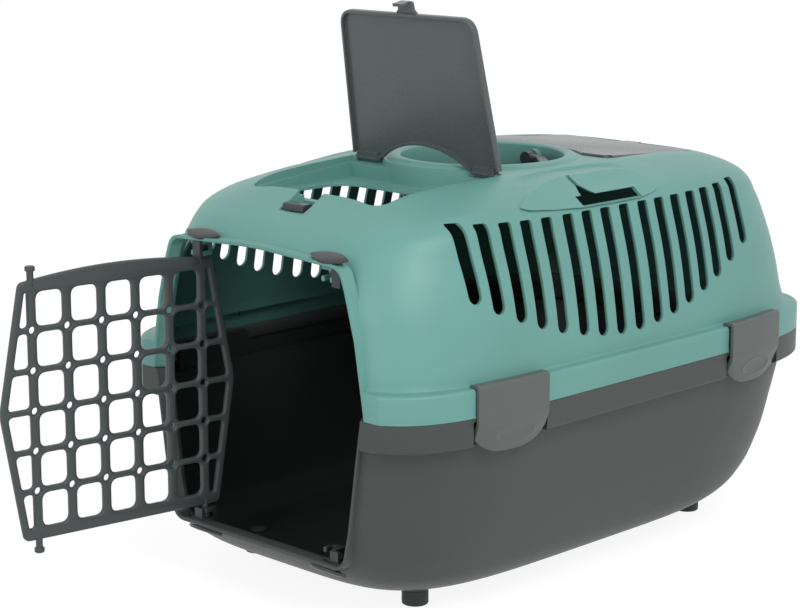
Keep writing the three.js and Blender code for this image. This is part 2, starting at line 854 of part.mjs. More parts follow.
// Raised double rim, cut open by the bowl afterwards.
function bowlRim() {
  const step = bowlRimRadius(0);
  const top = step - bowlStepWidth;
  return solid(lathe([
    [0, crownHeight - wall],
    [step, crownHeight - wall],
    [step, crownHeight + bowlStepRise],
    [top, crownHeight + bowlStepRise],
    [top - bowlRimRise / 2, crownHeight + bowlRimRise],
    [0, crownHeight + bowlRimRise],
  ], bowlFacets));
}

// end is 1 at the rear of the bowl and -1 at its front.
function handleRod(end, radius, from, to) {
  const rod = end > 0 ? rodY(radius, from, to) : rodY(radius, -to, -from);
  return solid(rod.translate(0, 0, handlePivotHeight));
}

function ventCuts(side) {
  const inner = rimHalfWidth / 2;
  const outer = rimHalfWidth + overrun;
  const half = ventWidth / 2;
  const cuts = [];
  for (let index = 0; index < ventCount; index += 1) {
    const y = ventFirst + index * ventPitch;
    const share = (2 * index) / (ventCount - 1) - 1;
    const bottom = ventDeepest + ventArcRise * share ** 2;
    const outline = new THREE.Shape();
    outline.moveTo(y - half, ventTop - ventTopRadius);
    outline.absarc(y, bottom + half, half, halfTurn, 2 * halfTurn, false);
    outline.lineTo(y + half, ventTop - ventTopRadius);
    outline.lineTo(y + half - ventTopRadius, ventTop);
    outline.lineTo(y - half + ventTopRadius, ventTop);
    outline.closePath();
    cuts.push(solid(side > 0 ? alongX(outline, inner, outer, 2) : alongX(outline, -outer, -inner, 2)));
  }
  return cuts;
}

// Bulge over the shoulder that carries the seat belt; extra thins it for the inside.
function beltGuide(side, extra) {
  const radius = beltGuideRadius - extra;
  return solid(new THREE.SphereGeometry(1, bulgeFacets, bulgeFacets)
    .rotateX(quarterTurn)
    .scale(radius, beltGuideLength - extra, radius)
    .translate(side * beltGuideOut, beltGuideMiddle, beltGuideHeight));
}

// Slot that the belt lies in, and the narrow entry that it is slid through from above.
function beltCuts(side) {
  const inner = Math.min(side * beltCutInner, side * (rimHalfWidth + overrun));
  const outer = Math.max(side * beltCutInner, side * (rimHalfWidth + overrun));
  const slot = boxBetween(
    [inner, beltSlotMiddle - beltSlotLength / 2, beltSlotHeight - beltSlotWidth / 2],
    [outer, beltSlotMiddle + beltSlotLength / 2, beltSlotHeight + beltSlotWidth / 2],
  );
  const entry = boxBetween(
    [inner, beltEntryMiddle - beltEntryWidth / 2, beltSlotHeight],
    [outer, beltEntryMiddle + beltEntryWidth / 2, crownHeight + overrun],
  );
  return solid(slot).add(solid(entry));
}

// Where a clip sits: on the band, turned to follow its curve. side and end are -1 or 1 in X and Y.
function clipSeat(side, end) {
  const length = end < 0 ? rimFrontLength : rimRearLength;
  const bandX = (y) => rimHalfWidth * (1 - Math.abs(y / length) ** rimSquareness) ** (1 / rimSquareness);
  const reach = clipWidth / 2;
  const run = bandX(end * (clipPlace + reach)) - bandX(end * (clipPlace - reach));
  const slope = run / (end * clipWidth);
  const yaw = -Math.atan(slope);
  return {
    x: side * bandX(clipPlace * end),
    y: end * clipPlace,
    yaw: side > 0 ? yaw : halfTurn - yaw,
  };
}

function atClip(geometry, side, end) {
  const seat = clipSeat(side, end);
  return geometry.rotateZ(seat.yaw).translate(seat.x, seat.y, 0);
}

// Pocket in the tray's band for a clip's barrel. extra adds its back wall, its ears and its top.
function clipPocket(side, end, extra, ear) {
  const half = clipWidth / 2 + clipSlit + ear;
  const low = trayWallHeight - (extra > 0 ? wall : overrun);
  const high = trayDepth - wall + extra;
  const pocket = boxBetween([-clipPocketDepth - extra, -half, low], [overrun, half, high]);
  return solid(atClip(pocket, side, end));
}

function clipBores(side, end) {
  const half = clipWidth / 2 + clipSlit + clipEarThickness + gap;
  const bore = rodY(clipStubRadius + gap, -half, half).translate(-clipPivotInset, 0, clipPivotHeight);
  return solid(atClip(bore, side, end));
}

function footRod([x, y], radius, from, to) {
  return solid(rodZ(radius, from, to, footFacets).translate(x, y, 0));
}

const footPlaces = {
  foot_front_left: [-footX, -footFrontY],
  foot_front_right: [footX, -footFrontY],
  foot_rear_left: [-footX, footRearY],
  foot_rear_right: [footX, footRearY],
};

const sides = [-1, 1];
const ends = [-1, 1];

// Everything further to the front than a place
function aheadOf(depth) {
  return solid(boxBetween(
    [-rimHalfWidth - overrun, -rimFrontLength - overrun, -overrun],
    [rimHalfWidth + overrun, -depth, crownHeight + overrun],
  ));
}

// A layer across the whole plan, from one height to another
function slab(from, to) {
  const reach = rimRearLength + overrun;
  return solid(boxBetween([-reach, -reach - overrun, from], [reach, reach, to]));
}

function trayBody() {
  let outside = solid(loft(levelRings(trayOutside())));
  let cabin = solid(loft(levelRings(trayInside()))).subtract(aheadOf(frontPlane - wall));
  for (const spot of Object.values(footPlaces)) {
    outside = outside.add(footRod(spot, footBossRadius, -footBossDrop, footBossHeight));
  }
  for (const side of sides) {
    for (const end of ends) cabin = cabin.subtract(clipPocket(side, end, wall, clipEarThickness));
  }
  const collar = doorwayCollar(trayDoorway()).subtract(slab(trayDepth, crownHeight + overrun));
  let tray = outside.subtract(cabin).add(rimLip()).subtract(aheadOf(frontPlane)).add(collar);
  for (const side of sides) {
    for (const end of ends) {
      tray = tray.subtract(clipPocket(side, end, 0, 0));
      tray = tray.subtract(clipBores(side, end));
    }
  }
  tray = tray.subtract(doorwayVoid(trayDoorway()));
  for (const side of sides) tray = tray.add(pinSocket(side, -1)).subtract(gateSlot(side, -1));
  for (const spot of Object.values(footPlaces)) {
    tray = tray.subtract(footRod(spot, footSpigotRadius + gap, -overrun, wall + overrun));
    tray = tray.subtract(footRod(spot, footHeadRadius + gap, wall, footBossHeight));
  }
  return tray;
}

// Lip inside the tray's rim that centres the roof shell on it.
function rimLip() {
  const outer = wall + gap;
  const inner = outer + rimLipThickness;
  const low = trayDepth - 2 * rimLipHeight;
  const top = trayDepth + rimLipHeight;
  const skin = [
    bandLevel(wall - gap, low),
    bandLevel(wall - gap, trayDepth - gap),
    bandLevel(outer, trayDepth),
  ];
  const outside = levelRings([...skin, bandLevel(outer, top)]);
  const inside = levelRings([bandLevel(inner, low - gap), bandLevel(inner, top + gap)]);
  return solid(loft(outside)).subtract(solid(loft(inside))).subtract(aheadOf(frontPlane - collarDepth - gap));
}

function roofBody() {
  const topRings = (levels) => [...levelRings(levels), ...roofTopRings(levels)];
  let outside = solid(loft(topRings(roofOutside()))).add(bowlRim());
  let cabin = solid(loft(topRings(roofInside())));
  for (const side of sides) {
    outside = outside.add(beltGuide(side, 0));
    cabin = cabin.add(beltGuide(side, wall));
  }
  cabin = cabin.subtract(aheadOf(frontPlane - wall)).subtract(bowlHollow(wall));
  for (const hollow of [panHollow(wall), notchHollow(wall)]) {
    cabin = cabin.subtract(hollow).subtract(turnedRound(hollow));
  }
  const collar = doorwayCollar(roofDoorway()).subtract(slab(-overrun, roofBase));
  let roof = outside.subtract(cabin).subtract(aheadOf(frontPlane)).add(collar);
  for (const hollow of [panHollow(0), notchHollow(0), roofOpening(), catchSlot(), stubBores()]) {
    roof = roof.subtract(hollow).subtract(turnedRound(hollow));
  }
  roof = roof.subtract(doorwayVoid(roofDoorway()));
  for (const side of sides) {
    roof = roof.add(pinSocket(side, 1)).subtract(gateSlot(side, 1)).subtract(beltCuts(side));
    for (const cut of ventCuts(side)) roof = roof.subtract(cut);
  }
  roof = roof.subtract(bowlHollow(0).subtract(handleBosses()));
  for (const end of ends) {
    const depth = handleEyeOuter + handleStubLength + gap;
    roof = roof.subtract(handleRod(end, handleStubRadius + gap, handleEyeInner, depth));
  }
  return roof;
}

// The same shape at the other end of the roof
function turnedRound(body) {
  return solid(geometryOf(body).rotateZ(halfTurn));
}

// Two bosses in the bowl's wall that carry the handle's stubs
function handleBosses() {
  const boss = (end) => handleRod(end, handleBossRadius, handleEyeOuter + gap, bowlRadius + wall);
  return boss(1).add(boss(-1));
}

// Half width of the door at a height, to its straight side edges.
function doorHalfWidthAt(height) {
  const upper = height > doorWaistHeight;
  const endHeight = upper ? doorTopCorner : doorBottom;
  const endHalfWidth = upper ? doorTopHalfWidth : doorBottomHalfWidth;
  const share = (height - doorWaistHeight) / (endHeight - doorWaistHeight);
  return doorWaistHalfWidth + share * (endHalfWidth - doorWaistHalfWidth);
}

function doorShape() {
  const arch = [0.75, 0.5, 0.25, 0, -0.25, -0.5, -0.75].map((share) => {
    const x = share * doorTopHalfWidth;
    return [x, archHeight(x), 0];
  });
  const shape = roundedOutline([
    [doorBottomHalfWidth, doorBottom, doorCornerRadius],
    [doorWaistHalfWidth, doorWaistHeight, doorWaistRadius],
    [doorTopHalfWidth, doorTopCorner, doorCornerRadius],
    ...arch,
    [-doorTopHalfWidth, doorTopCorner, doorCornerRadius],
    [-doorWaistHalfWidth, doorWaistHeight, doorWaistRadius],
    [-doorBottomHalfWidth, doorBottom, doorCornerRadius],
  ]);
  for (let row = 0; row < doorHoleRows; row += 1) {
    const low = doorGridBottom + row * doorRowPitch + doorRowBar / 2;
    const high = low + doorRowPitch - doorRowBar;
    for (let column = 0; column < doorHoleColumns; column += 1) {
      const left = column * doorColumnPitch - doorGridHalf + doorBarWidth / 2;
      const right = left + doorColumnPitch - doorBarWidth;
      const corners = [[left, low], [right, low], [right, high], [left, high]];
      shape.holes.push(roundedOutline(corners.map((at) => [...at, doorHoleRadius]), new THREE.Path()));
    }
    const inner = doorGridHalf + doorBarWidth / 2;
    for (const side of sides) shape.holes.push(doorSideHole(side, low, high, inner));
  }
  for (let row = 1; row < doorHoleRows; row += 1) {
    for (let column = 0; column <= doorHoleColumns; column += 1) {
      const x = column * doorColumnPitch - doorGridHalf;
      const z = doorGridBottom + row * doorRowPitch;
      const rim = Array.from({ length: nodeHoleFacets }, (_, index) => {
        const turn = (2 * halfTurn * (index + 1 / 2)) / nodeHoleFacets;
        const across = doorNodeHoleRadius * Math.cos(turn);
        return new THREE.Vector2(x + across, z + doorNodeHoleRadius * Math.sin(turn));
      });
      shape.holes.push(new THREE.Path(rim));
    }
  }
  return shape;
}

// Hole between the outermost bar and the door's slanted side; at the waist it has a fifth corner.
function doorSideHole(side, low, high, inner) {
  const outer = (height) => doorHalfWidthAt(height) - doorSideBorder;
  const corners = [[inner, low], [outer(low), low]];
  const waist = [outer(doorWaistHeight), doorWaistHeight];
  if (low < doorWaistHeight && high > doorWaistHeight) corners.push(waist);
  corners.push([outer(high), high], [inner, high]);
  const rounded = corners.map(([x, z]) => [side * x, z, doorSideHoleRadius]);
  return roundedOutline(side > 0 ? rounded : rounded.reverse(), new THREE.Path());
}

// The door in its own frame: hinge pins on the Z axis through the origin, closed, so it reaches towards +X.
function doorGeometry() {
  const half = doorThickness / 2;
  let door = solid(alongY(doorShape(), -half, half, 2));
  const topEdge = archHeight(pinOffset);
  for (const side of sides) {
    const x = side * pinOffset;
    const pin = (radius, from, to) => solid(rodZ(radius, from, to).translate(x, 0, 0));
    const topNeck = topEdge + pinNeckLength;
    const bottomNeck = doorBottom - pinNeckLength;
    door = door
      .add(pin(pinNeckRadius, topEdge - doorThickness, topNeck + gap))
      .add(pin(pinHeadRadius, topNeck, topNeck + pinHeadLength))
      .add(pin(pinNeckRadius, bottomNeck - gap, doorBottom + doorThickness))
      .add(pin(pinHeadRadius, bottomNeck - pinHeadLength, bottomNeck));
  }
  return geometryOf(door).translate(pinOffset, 0, 0);
}

// A lid in its own frame, closed: plate with a rim underneath, two hinge feet and a tab on the free edge.
function lidGeometry() {
  const top = lidBarrelRadius;
  const under = top - lidThickness;
  const plate = solid(alongZ(roundedOutline(lidCorners(0)), under, top));
  const rimOuter = roundedOutline(lidCorners(-lidRimInset));
  const rimInner = roundedOutline(lidCorners(-lidRimInset - lidRimThickness));
  const rim = solid(alongZ(rimOuter, under - lidRimDepth, top - lidThickness / 2))
    .subtract(solid(alongZ(rimInner, under - lidRimDepth - gap, under)));
  const archRadius = bowlRimRadius(lidArchClearance);
  const arch = solid(rodZ(archRadius, -overrun, overrun, bowlFacets).translate(0, lidHinge, 0));
  const outer = lidHingeHalfWidth - panLedge - lidClearance;
  const inner = Math.sqrt(archRadius ** 2 - (lidHinge - lidFootCut) ** 2);
  const block = (low, high) => solid(boxBetween([...low, -overrun], [...high, overrun]));
  let lid = plate.add(rim)
    .subtract(block([-rimHalfWidth, 0], [rimHalfWidth, overrun]))
    .subtract(block([-inner, -lidFootCut], [inner, overrun]))
    .subtract(block([outer, -lidFootCut], [rimHalfWidth, overrun]))
    .subtract(block([-rimHalfWidth, -lidFootCut], [-outer, overrun]))
    .subtract(arch);
  const rod = (side, radius, from, to) => {
    const span = [side * from, side * to].sort((one, other) => one - other);
    return solid(rodX(radius, ...span));
  };
  for (const side of sides) {
    lid = lid.add(rod(side, lidBarrelRadius, inner, outer));
    lid = lid.add(rod(side, lidStubRadius, outer - gap, outer + lidStubLength));
  }
  const half = lidTabWidth / 2;
  const edge = -lidLength;
  const tip = edge - lidTabLength;
  const tab = roundedOutline([
    [-half - lidTabFlare, edge + lidTabFlare, 0],
    [-half - lidTabFlare, edge, 0],
    [-half, edge - lidTabFlare, lidTabFlare],
    [-half, tip, lidTabRound],
    [half, tip, lidTabRound],
    [half, edge - lidTabFlare, lidTabFlare],
    [half + lidTabFlare, edge, 0],
    [half + lidTabFlare, edge + lidTabFlare, 0],
  ]);
  const nib = boxBetween(
    [lidTabRound - half, tip, under - lidNibDrop],
    [half - lidTabRound, tip + lidNibThickness, top - lidThickness / 2],
  );
  return geometryOf(lid.add(solid(alongZ(tab, under, top))).add(solid(nib)));
}

function catchGeometry() {
  const half = catchWidth / 2;
  const low = notchFloor + gap;
  const bar = roundedOutline([
    [-catchDepth / 2, low, 0],
    [catchDepth / 2, low, 0],
    [catchDepth / 2, low + catchHeight, catchRound],
    [-catchDepth / 2, low + catchHeight, catchRound],
  ]);
  const footTop = notchFloor - wall - gap;
  const stem = boxBetween(
    [-catchStemWidth / 2, -catchStemDepth / 2, footTop - gap],
    [catchStemWidth / 2, catchStemDepth / 2, low + catchRound],
  );
  const foot = boxBetween(
    [-catchFootWidth / 2, -catchFootDepth / 2, footTop - catchFootThickness],
    [catchFootWidth / 2, catchFootDepth / 2, footTop],
  );
  return geometryOf(solid(alongX(bar, -half, half)).add(solid(stem)).add(solid(foot)));
}

// The handle in its own frame: pivots on the Y axis through the origin, folded flat towards +X.
function handleGeometry() {
  const half = handleThickness / 2;
  const innerReach = handleReach - handleGripWidth;
  const armWidth = handleEyeOuter - handleEyeInner;
  const outline = roundedOutline([
    [0, -handleEyeOuter, 0],
    [handleShoulder, -handleEyeOuter, handleBend],
    [handleReach, -handleGripHalf, handleBend],
    [handleReach, handleGripHalf, handleBend],
    [handleShoulder, handleEyeOuter, handleBend],
    [0, handleEyeOuter, 0],
    [0, handleEyeInner, 0],
    [handleShoulder - armWidth / 2, handleEyeInner, handleInnerBend],
    [innerReach, handleGripHalf - armWidth / 2, handleInnerBend],
    [innerReach, armWidth / 2 - handleGripHalf, handleInnerBend],
    [handleShoulder - armWidth / 2, -handleEyeInner, handleInnerBend],
    [0, -handleEyeInner, 0],
  ]);
  const bail = new THREE.ExtrudeGeometry(outline, {
    depth: handleThickness - 2 * handleBevel,
    bevelThickness: handleBevel,
    bevelSize: handleBevel,
    bevelOffset: -handleBevel,
    bevelSegments: 2,
    curveSegments: 5,
  }).translate(0, 0, handleBevel - half);
  let handle = solid(bail);
  for (const end of ends) {
    const span = (radius, from, to) => solid(end > 0 ? rodY(radius, from, to) : rodY(radius, -to, -from));
    handle = handle.add(span(handleEyeRadius, handleEyeInner, handleEyeOuter));
    handle = handle.add(span(handleStubRadius, handleEyeOuter - gap, handleEyeOuter + handleStubLength));
  }
  return geometryOf(handle);
}

// A side clip in its own frame: its barrel on the Y axis through the origin, the band's face outside it.
function clipGeometry() {
  const faceIn = clipStandOff;
  const faceOut = clipStandOff + clipPlate;
  const hookUnder = shelfHeight + gap;
  const hookTop = hookUnder + clipHookThickness;
  const profile = roundedOutline([
    [faceIn - clipTabSetback, clipTabBottom, 0],
    [faceOut - clipTabSetback, clipTabBottom, 0],
    [faceOut, clipCreaseHeight, 0],
    [faceOut, hookTop, clipHookRound],
    [-clipHookReach, hookTop, clipHookRound / 2],
    [-clipHookReach, hookUnder, 0],
    [faceIn, hookUnder, 0],
    [faceIn, clipCreaseHeight, 0],
  ]);
  const half = clipWidth / 2;
  const face = roundedOutline([
    [-half, clipTabBottom, clipCornerRadius],
    [half, clipTabBottom, clipCornerRadius],
    [half, hookTop + clipPlate, 0],
    [-half, hookTop + clipPlate, 0],
  ]);
  let clip = solid(alongY(profile, -half, half)).intersect(solid(alongX(face, -overrun, overrun)));
  const barrelHalf = half - clipCornerRadius / 2;
  const link = boxBetween(
    [-clipPivotInset, -barrelHalf, clipPivotHeight - clipLinkThickness / 2],
    [faceIn + clipPlate / 2, barrelHalf, clipPivotHeight + clipLinkThickness / 2],
  );
  const stubHalf = half + clipSlit + clipEarThickness - gap;
  const barrel = rodY(clipBarrelRadius, -half, half).translate(-clipPivotInset, 0, clipPivotHeight);
  const stubs = rodY(clipStubRadius, -stubHalf, stubHalf).translate(-clipPivotInset, 0, clipPivotHeight);
  clip = clip.add(solid(link)).add(solid(barrel)).add(solid(stubs));
  const dishShare = (clipCreaseHeight - clipDishHeight) / (clipCreaseHeight - clipTabBottom);
  const dishOut = faceOut - clipTabSetback * dishShare;
  const dish = new THREE.SphereGeometry(1, bulgeFacets, bulgeFacets / 2)
    .rotateX(quarterTurn)
    .scale(clipDishDepth, clipDishHalfLength, clipDishHalfHeight)
    .translate(dishOut, 0, clipDishHeight);
  return geometryOf(clip.subtract(solid(dish))).translate(clipPivotInset, 0, -clipPivotHeight);
}

// A push-in foot in its own frame, with the tray's underside at the origin.
function footGeometry() {
  const seat = -footBossDrop - gap;
  const headSeat = wall + gap;
  return lathe([
    [0, -footHeight],
    [footRadius - footRound, -footHeight],
    [footRadius, footRound - footHeight],
    [footRadius, seat],
    [footSpigotRadius, seat],
    [footSpigotRadius, headSeat],
    [footHeadRadius, headSeat],
    [footSpigotRadius, headSeat + footHeadThickness],
    [0, headSeat + footHeadThickness],
  ], footFacets);
}

const paint = (color, roughness) => new THREE.MeshStandardMaterial({ color, roughness, metalness: 0 });
const greenShell = '#6ba299';
const greyTray = '#4b5350';
const greyClip = '#5f6664';
const greyLid = '#565d5d';
const greyDoor = '#4f5755';
const darkTrim = '#3f4447';
const darkFoot = '#353a37';

const carrier = new THREE.Group();

function place(name, geometry, colour, roughness, parent = carrier) {
  const mesh = new THREE.Mesh(geometry, paint(colour, roughness));
  mesh.name = name;
  parent.add(mesh);
  return mesh;
}

place('tray', geometryOf(trayBody()), greyTray, 0.55);
place('roof_shell', geometryOf(roofBody()), greenShell, 0.5);

const door = place('door_grille', doorGeometry(), greyDoor, 0.5);
door.position.set(-pinOffset, pinY, 0);
door.rotation.z = THREE.MathUtils.degToRad(-doorRestAngle);

// The rear lid is the front one turned round.
const rearHalf = new THREE.Group();
rearHalf.rotation.z = halfTurn;
carrier.add(rearHalf);
const lidHomes = [['front_lid', carrier, lidRestAngle], ['rear_lid', rearHalf, 0]];
for (const [name, home, opening] of lidHomes) {
  const lid = place(name, lidGeometry(), greyLid, 0.45, home);
  lid.position.set(0, -lidHinge, lidAxisHeight());
  lid.rotation.x = lidTilt() - THREE.MathUtils.degToRad(opening);
}
for (const [name, home] of [['front_lid_catch', carrier], ['rear_lid_catch', rearHalf]]) {
  place(name, catchGeometry(), darkTrim, 0.4, home).position.set(0, -catchMiddle, 0);
}

const handle = place('carry_handle', handleGeometry(), darkTrim, 0.4);
handle.position.set(0, 0, handlePivotHeight);

const leverSides = { left: -1, right: 1 };
for (const [sideName, side] of Object.entries(leverSides)) {
  const top = place(`door_lever_top_${sideName}`, leverGeometry(side, 1), darkTrim, 0.45);
  const bottom = place(`door_lever_bottom_${sideName}`, leverGeometry(side, -1), darkTrim, 0.45);
  for (const lever of [top, bottom]) lever.position.set(leverPlace(side), 0, 0);
}

for (const [endName, end] of [['front', -1], ['rear', 1]]) {
  for (const [sideName, side] of Object.entries(leverSides)) {
    const seat = clipSeat(side, end);
    const clip = place(`clip_${endName}_${sideName}`, clipGeometry(), greyClip, 0.45);
    const inset = new THREE.Vector3(-clipPivotInset, 0, clipPivotHeight);
    inset.applyAxisAngle(new THREE.Vector3(0, 0, 1), seat.yaw);
    clip.position.set(seat.x + inset.x, seat.y + inset.y, inset.z);
    clip.rotation.z = seat.yaw;
  }
}

for (const [name, [x, y]] of Object.entries(footPlaces)) {
  place(name, footGeometry(), darkFoot, 0.6).position.set(x, y, 0);
}

export default carrier;
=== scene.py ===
"""Looks of the small pet carrier: shells, grille door, lids, handle, clips and feet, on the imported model.

Shapes are worked out in millimetres in the part's own frame, then written in metres.
"""
import bmesh
import bpy
import numpy as np
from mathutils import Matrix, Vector


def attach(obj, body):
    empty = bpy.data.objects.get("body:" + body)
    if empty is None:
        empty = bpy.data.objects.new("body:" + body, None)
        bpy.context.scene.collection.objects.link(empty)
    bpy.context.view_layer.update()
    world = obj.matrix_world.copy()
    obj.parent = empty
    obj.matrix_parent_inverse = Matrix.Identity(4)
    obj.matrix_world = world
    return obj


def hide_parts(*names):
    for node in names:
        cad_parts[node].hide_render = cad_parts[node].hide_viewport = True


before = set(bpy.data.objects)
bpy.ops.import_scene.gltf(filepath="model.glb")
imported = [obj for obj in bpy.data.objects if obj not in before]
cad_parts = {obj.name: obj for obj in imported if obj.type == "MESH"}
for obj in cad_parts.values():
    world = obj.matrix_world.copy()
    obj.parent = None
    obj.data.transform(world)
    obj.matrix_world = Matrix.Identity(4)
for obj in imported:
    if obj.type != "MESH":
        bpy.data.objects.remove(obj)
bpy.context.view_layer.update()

MM = 0.001
WALL = 2.8
GAP = 0.3
FAR = 30.0
RIM_HALF_WIDTH = 185.0
RIM_FRONT = 280.0
RIM_REAR = 280.0
CLIP_LINE_REAR = 275.0
FRONT_PLANE = 268.0
BAND_STEP = 10.0
BAND_SQUARENESS = 5.6
TRAY_DEPTH = 158.0
TRAY_WALL = 134.5
ROOF_BASE = TRAY_DEPTH + GAP
SHELF = 181.0
ROOF_RISE = 142.0
CROWN = SHELF + ROOF_RISE
CROWN_DROP = 7.0
CROWN_REACH = 202.0
ROOF_SIDE_INSET = 75.0
ROOF_FRONT_INSET = 90.0
TRAY_SIDE_INSET = 55.0
TRAY_FRONT_INSET = 60.0


# Curves and surfaces

def hermite(knots, values, at):
    """Cubic through (knots, values): h00 v0 + h10 d m0 + h01 v1 + h11 d m1.

    The slopes m are central differences.
    """
    slopes = np.gradient(values, knots, axis=0)
    left = np.clip(np.searchsorted(knots, at, side="right") - 1, 0, len(knots) - 2)
    width = (knots[left + 1] - knots[left])[:, None]
    t = (at - knots[left])[:, None] / width
    return ((2 * t**3 - 3 * t**2 + 1) * values[left] + (t**3 - 2 * t**2 + t) * width * slopes[left]
            + (3 * t**2 - 2 * t**3) * values[left + 1] + (t**3 - t**2) * width * slopes[left + 1])


def arc(centre, radius, start, end, count):
    """Points at centre + radius (cos a, sin a) while a runs from start to end, in degrees."""
    a = np.radians(np.linspace(start, end, count))
    return np.stack([centre[0] + radius * np.cos(a), centre[1] + radius * np.sin(a)], axis=1)


def rounded(corners, steps=8):
    """Closed outline of (x, y, radius) corners, each rounded by a parabola controlled by the corner."""
    points = np.array([c[:2] for c in corners], float)
    radii = np.array([c[2] if len(c) > 2 else 0 for c in corners], float)
    before = np.roll(points, 1, axis=0) - points
    after = np.roll(points, -1, axis=0) - points
    reach_before = np.linalg.norm(before, axis=1)
    reach_after = np.linalg.norm(after, axis=1)
    cosine = np.clip((before * after).sum(axis=1) / (reach_before * reach_after), -1, 1)
    room = np.minimum(reach_before, reach_after) / 2
    cut = np.minimum(radii / np.tan(np.arccos(cosine) / 2 + 1e-9), room)
    out = []
    t = np.linspace(0, 1, steps + 1)[:, None]
    for index, corner in enumerate(points):
        if radii[index] <= 0:
            out.append(corner[None])
            continue
        enter = corner + before[index] / reach_before[index] * cut[index]
        leave = corner + after[index] / reach_after[index] * cut[index]
        out.append((1 - t)**2 * enter + 2 * t * (1 - t) * corner + t**2 * leave)
    return np.concatenate(out)


def grown(corners, distance):
    """Moves each side of a corner list by distance, along the mitres of neighbouring normals.

    A counterclockwise list grows and a clockwise one shrinks.
    """
    points = np.array([c[:2] for c in corners], float)
    back = points - np.roll(points, 1, axis=0)
    ahead = np.roll(points, -1, axis=0) - points
    first = np.stack([back[:, 1], -back[:, 0]], axis=1) / np.linalg.norm(back, axis=1)[:, None]
    second = np.stack([ahead[:, 1], -ahead[:, 0]], axis=1) / np.linalg.norm(ahead, axis=1)[:, None]
    mitre = (first + second) * (distance / (1 + (first * second).sum(axis=1)))[:, None]
    moved = points + mitre
    radii = [max(c[2] + distance, 0) if len(c) > 2 and c[2] > 0 else 0 for c in corners]
    return [(x, y, radius) for (x, y), radius in zip(moved, radii)]


def mirrored(right):
    """A right-hand corner list, going up, and its mirror image on the left going down."""
    left = [(-c[0], *c[1:]) for c in reversed(right) if abs(c[0]) > 0]
    return list(right) + left


def stacked(rings):
    """Quads between neighbouring rings of an (R, N, 3) array, and a fan from each end ring's mean point."""
    count, around = rings.shape[:2]
    ends = [rings[0].mean(axis=0)[None], rings[-1].mean(axis=0)[None]]
    points = np.concatenate([rings.reshape(-1, 3), *ends])
    row = np.arange(count - 1)[:, None] * around
    col = np.arange(around)[None]
    nxt = (col + 1) % around
    quads = np.stack([row + col, row + nxt, row + around + nxt, row + around + col], axis=2).reshape(-1, 4)
    col, nxt = col[0], nxt[0]
    low = np.stack([np.full(around, count * around), nxt, col], axis=1)
    top = (count - 1) * around
    high = np.stack([np.full(around, count * around + 1), top + col, top + nxt], axis=1)
    return points, quads, np.concatenate([low, high])


def body(points, quads, tris, name="shape"):
    """A mesh object from points and faces, turned outwards if its volume comes out negative."""
    p = points[tris]
    volume = np.einsum("ij,ij->i", p[:, 0], np.cross(p[:, 1], p[:, 2])).sum()
    if len(quads):
        for pick in ([0, 1, 2], [0, 2, 3]):
            p = points[quads[:, pick]]
            volume += np.einsum("ij,ij->i", p[:, 0], np.cross(p[:, 1], p[:, 2])).sum()
    if volume < 0:
        quads, tris = quads[:, ::-1], tris[:, ::-1]
    mesh = bpy.data.meshes.new(name)
    mesh.vertices.add(len(points))
    mesh.vertices.foreach_set("co", points.astype(np.float32).ravel())
    sizes = np.concatenate([np.full(len(quads), 4), np.full(len(tris), 3)])
    mesh.loops.add(int(sizes.sum()))
    mesh.loops.foreach_set("vertex_index", np.concatenate([quads.ravel(), tris.ravel()]).astype(np.int32))
    mesh.polygons.add(len(sizes))
    mesh.polygons.foreach_set("loop_start", np.concatenate([[0], np.cumsum(sizes)[:-1]]).astype(np.int32))
    mesh.update(calc_edges=True)
    made = bpy.data.objects.new(name, mesh)
    bpy.context.scene.collection.objects.link(made)
    return made


def solid(rings):
    """The closed body of a stack of rings."""
    return body(*stacked(np.asarray(rings, float)))


PLACE = {
    "x": lambda uv, at: np.stack([np.full(len(uv), at), uv[:, 0], uv[:, 1]], axis=1),
    "y": lambda uv, at: np.stack([uv[:, 0], np.full(len(uv), at), uv[:, 1]], axis=1),
    "z": lambda uv, at: np.stack([uv[:, 0], uv[:, 1], np.full(len(uv), at)], axis=1),
}


def prism(outline, axis, low, high, turn=None):
    """An outline carried straight from low to high along an axis; turn moves the points afterwards."""
    rings = np.stack([PLACE[axis](outline, low), PLACE[axis](outline, high)])
    return solid(turn(rings) if turn else rings)


def block(low, high, turn=None):
    """A box between two corners."""
    outline = np.array([(low[0], low[1]), (high[0], low[1]), (high[0], high[1]), (low[0], high[1])], float)
    return prism(outline, "z", low[2], high[2], turn)


def rod(axis, centre, radius, low, high, around=32, turn=None):
    """A round bar: the circle centre + radius (cos a, sin a) carried along an axis."""
    return prism(arc(centre, radius, 0, 360, around + 1)[:-1], axis, low, high, turn)


def turned(profile, centre=(0, 0), around=96):
    """Surface of revolution: each (radius, height) becomes the ring (cx + r cos a, cy + r sin a, height)."""
    profile = np.asarray(profile, float)
    a = np.linspace(0, 2 * np.pi, around, endpoint=False)
    r = np.maximum(profile[:, :1], 1e-3)
    height = np.broadcast_to(profile[:, 1:], r.shape[:1] + a.shape)
    return solid(np.stack([centre[0] + r * np.cos(a), centre[1] + r * np.sin(a), height], axis=2))


def joined(base, others, operation):
    """Boolean of base with each of the others in turn; the others are used up."""
    for other in others:
        tool = base.modifiers.new("tool", "BOOLEAN")
        tool.operation = operation
        tool.solver = "MANIFOLD"
        tool.object = other
    graph = bpy.context.evaluated_depsgraph_get()
    graph.update()
    result = bpy.data.meshes.new_from_object(base.evaluated_get(graph))
    old = base.data
    base.modifiers.clear()
    base.data = result
    bpy.data.meshes.remove(old)
    for other in others:
        mesh = other.data
        bpy.data.objects.remove(other)
        bpy.data.meshes.remove(mesh)
    return base


def add(base, *others):
    """Union of base with the others."""
    return joined(base, others, "UNION")


def cut(base, *others):
    """Base less the others."""
    return joined(base, others, "DIFFERENCE")


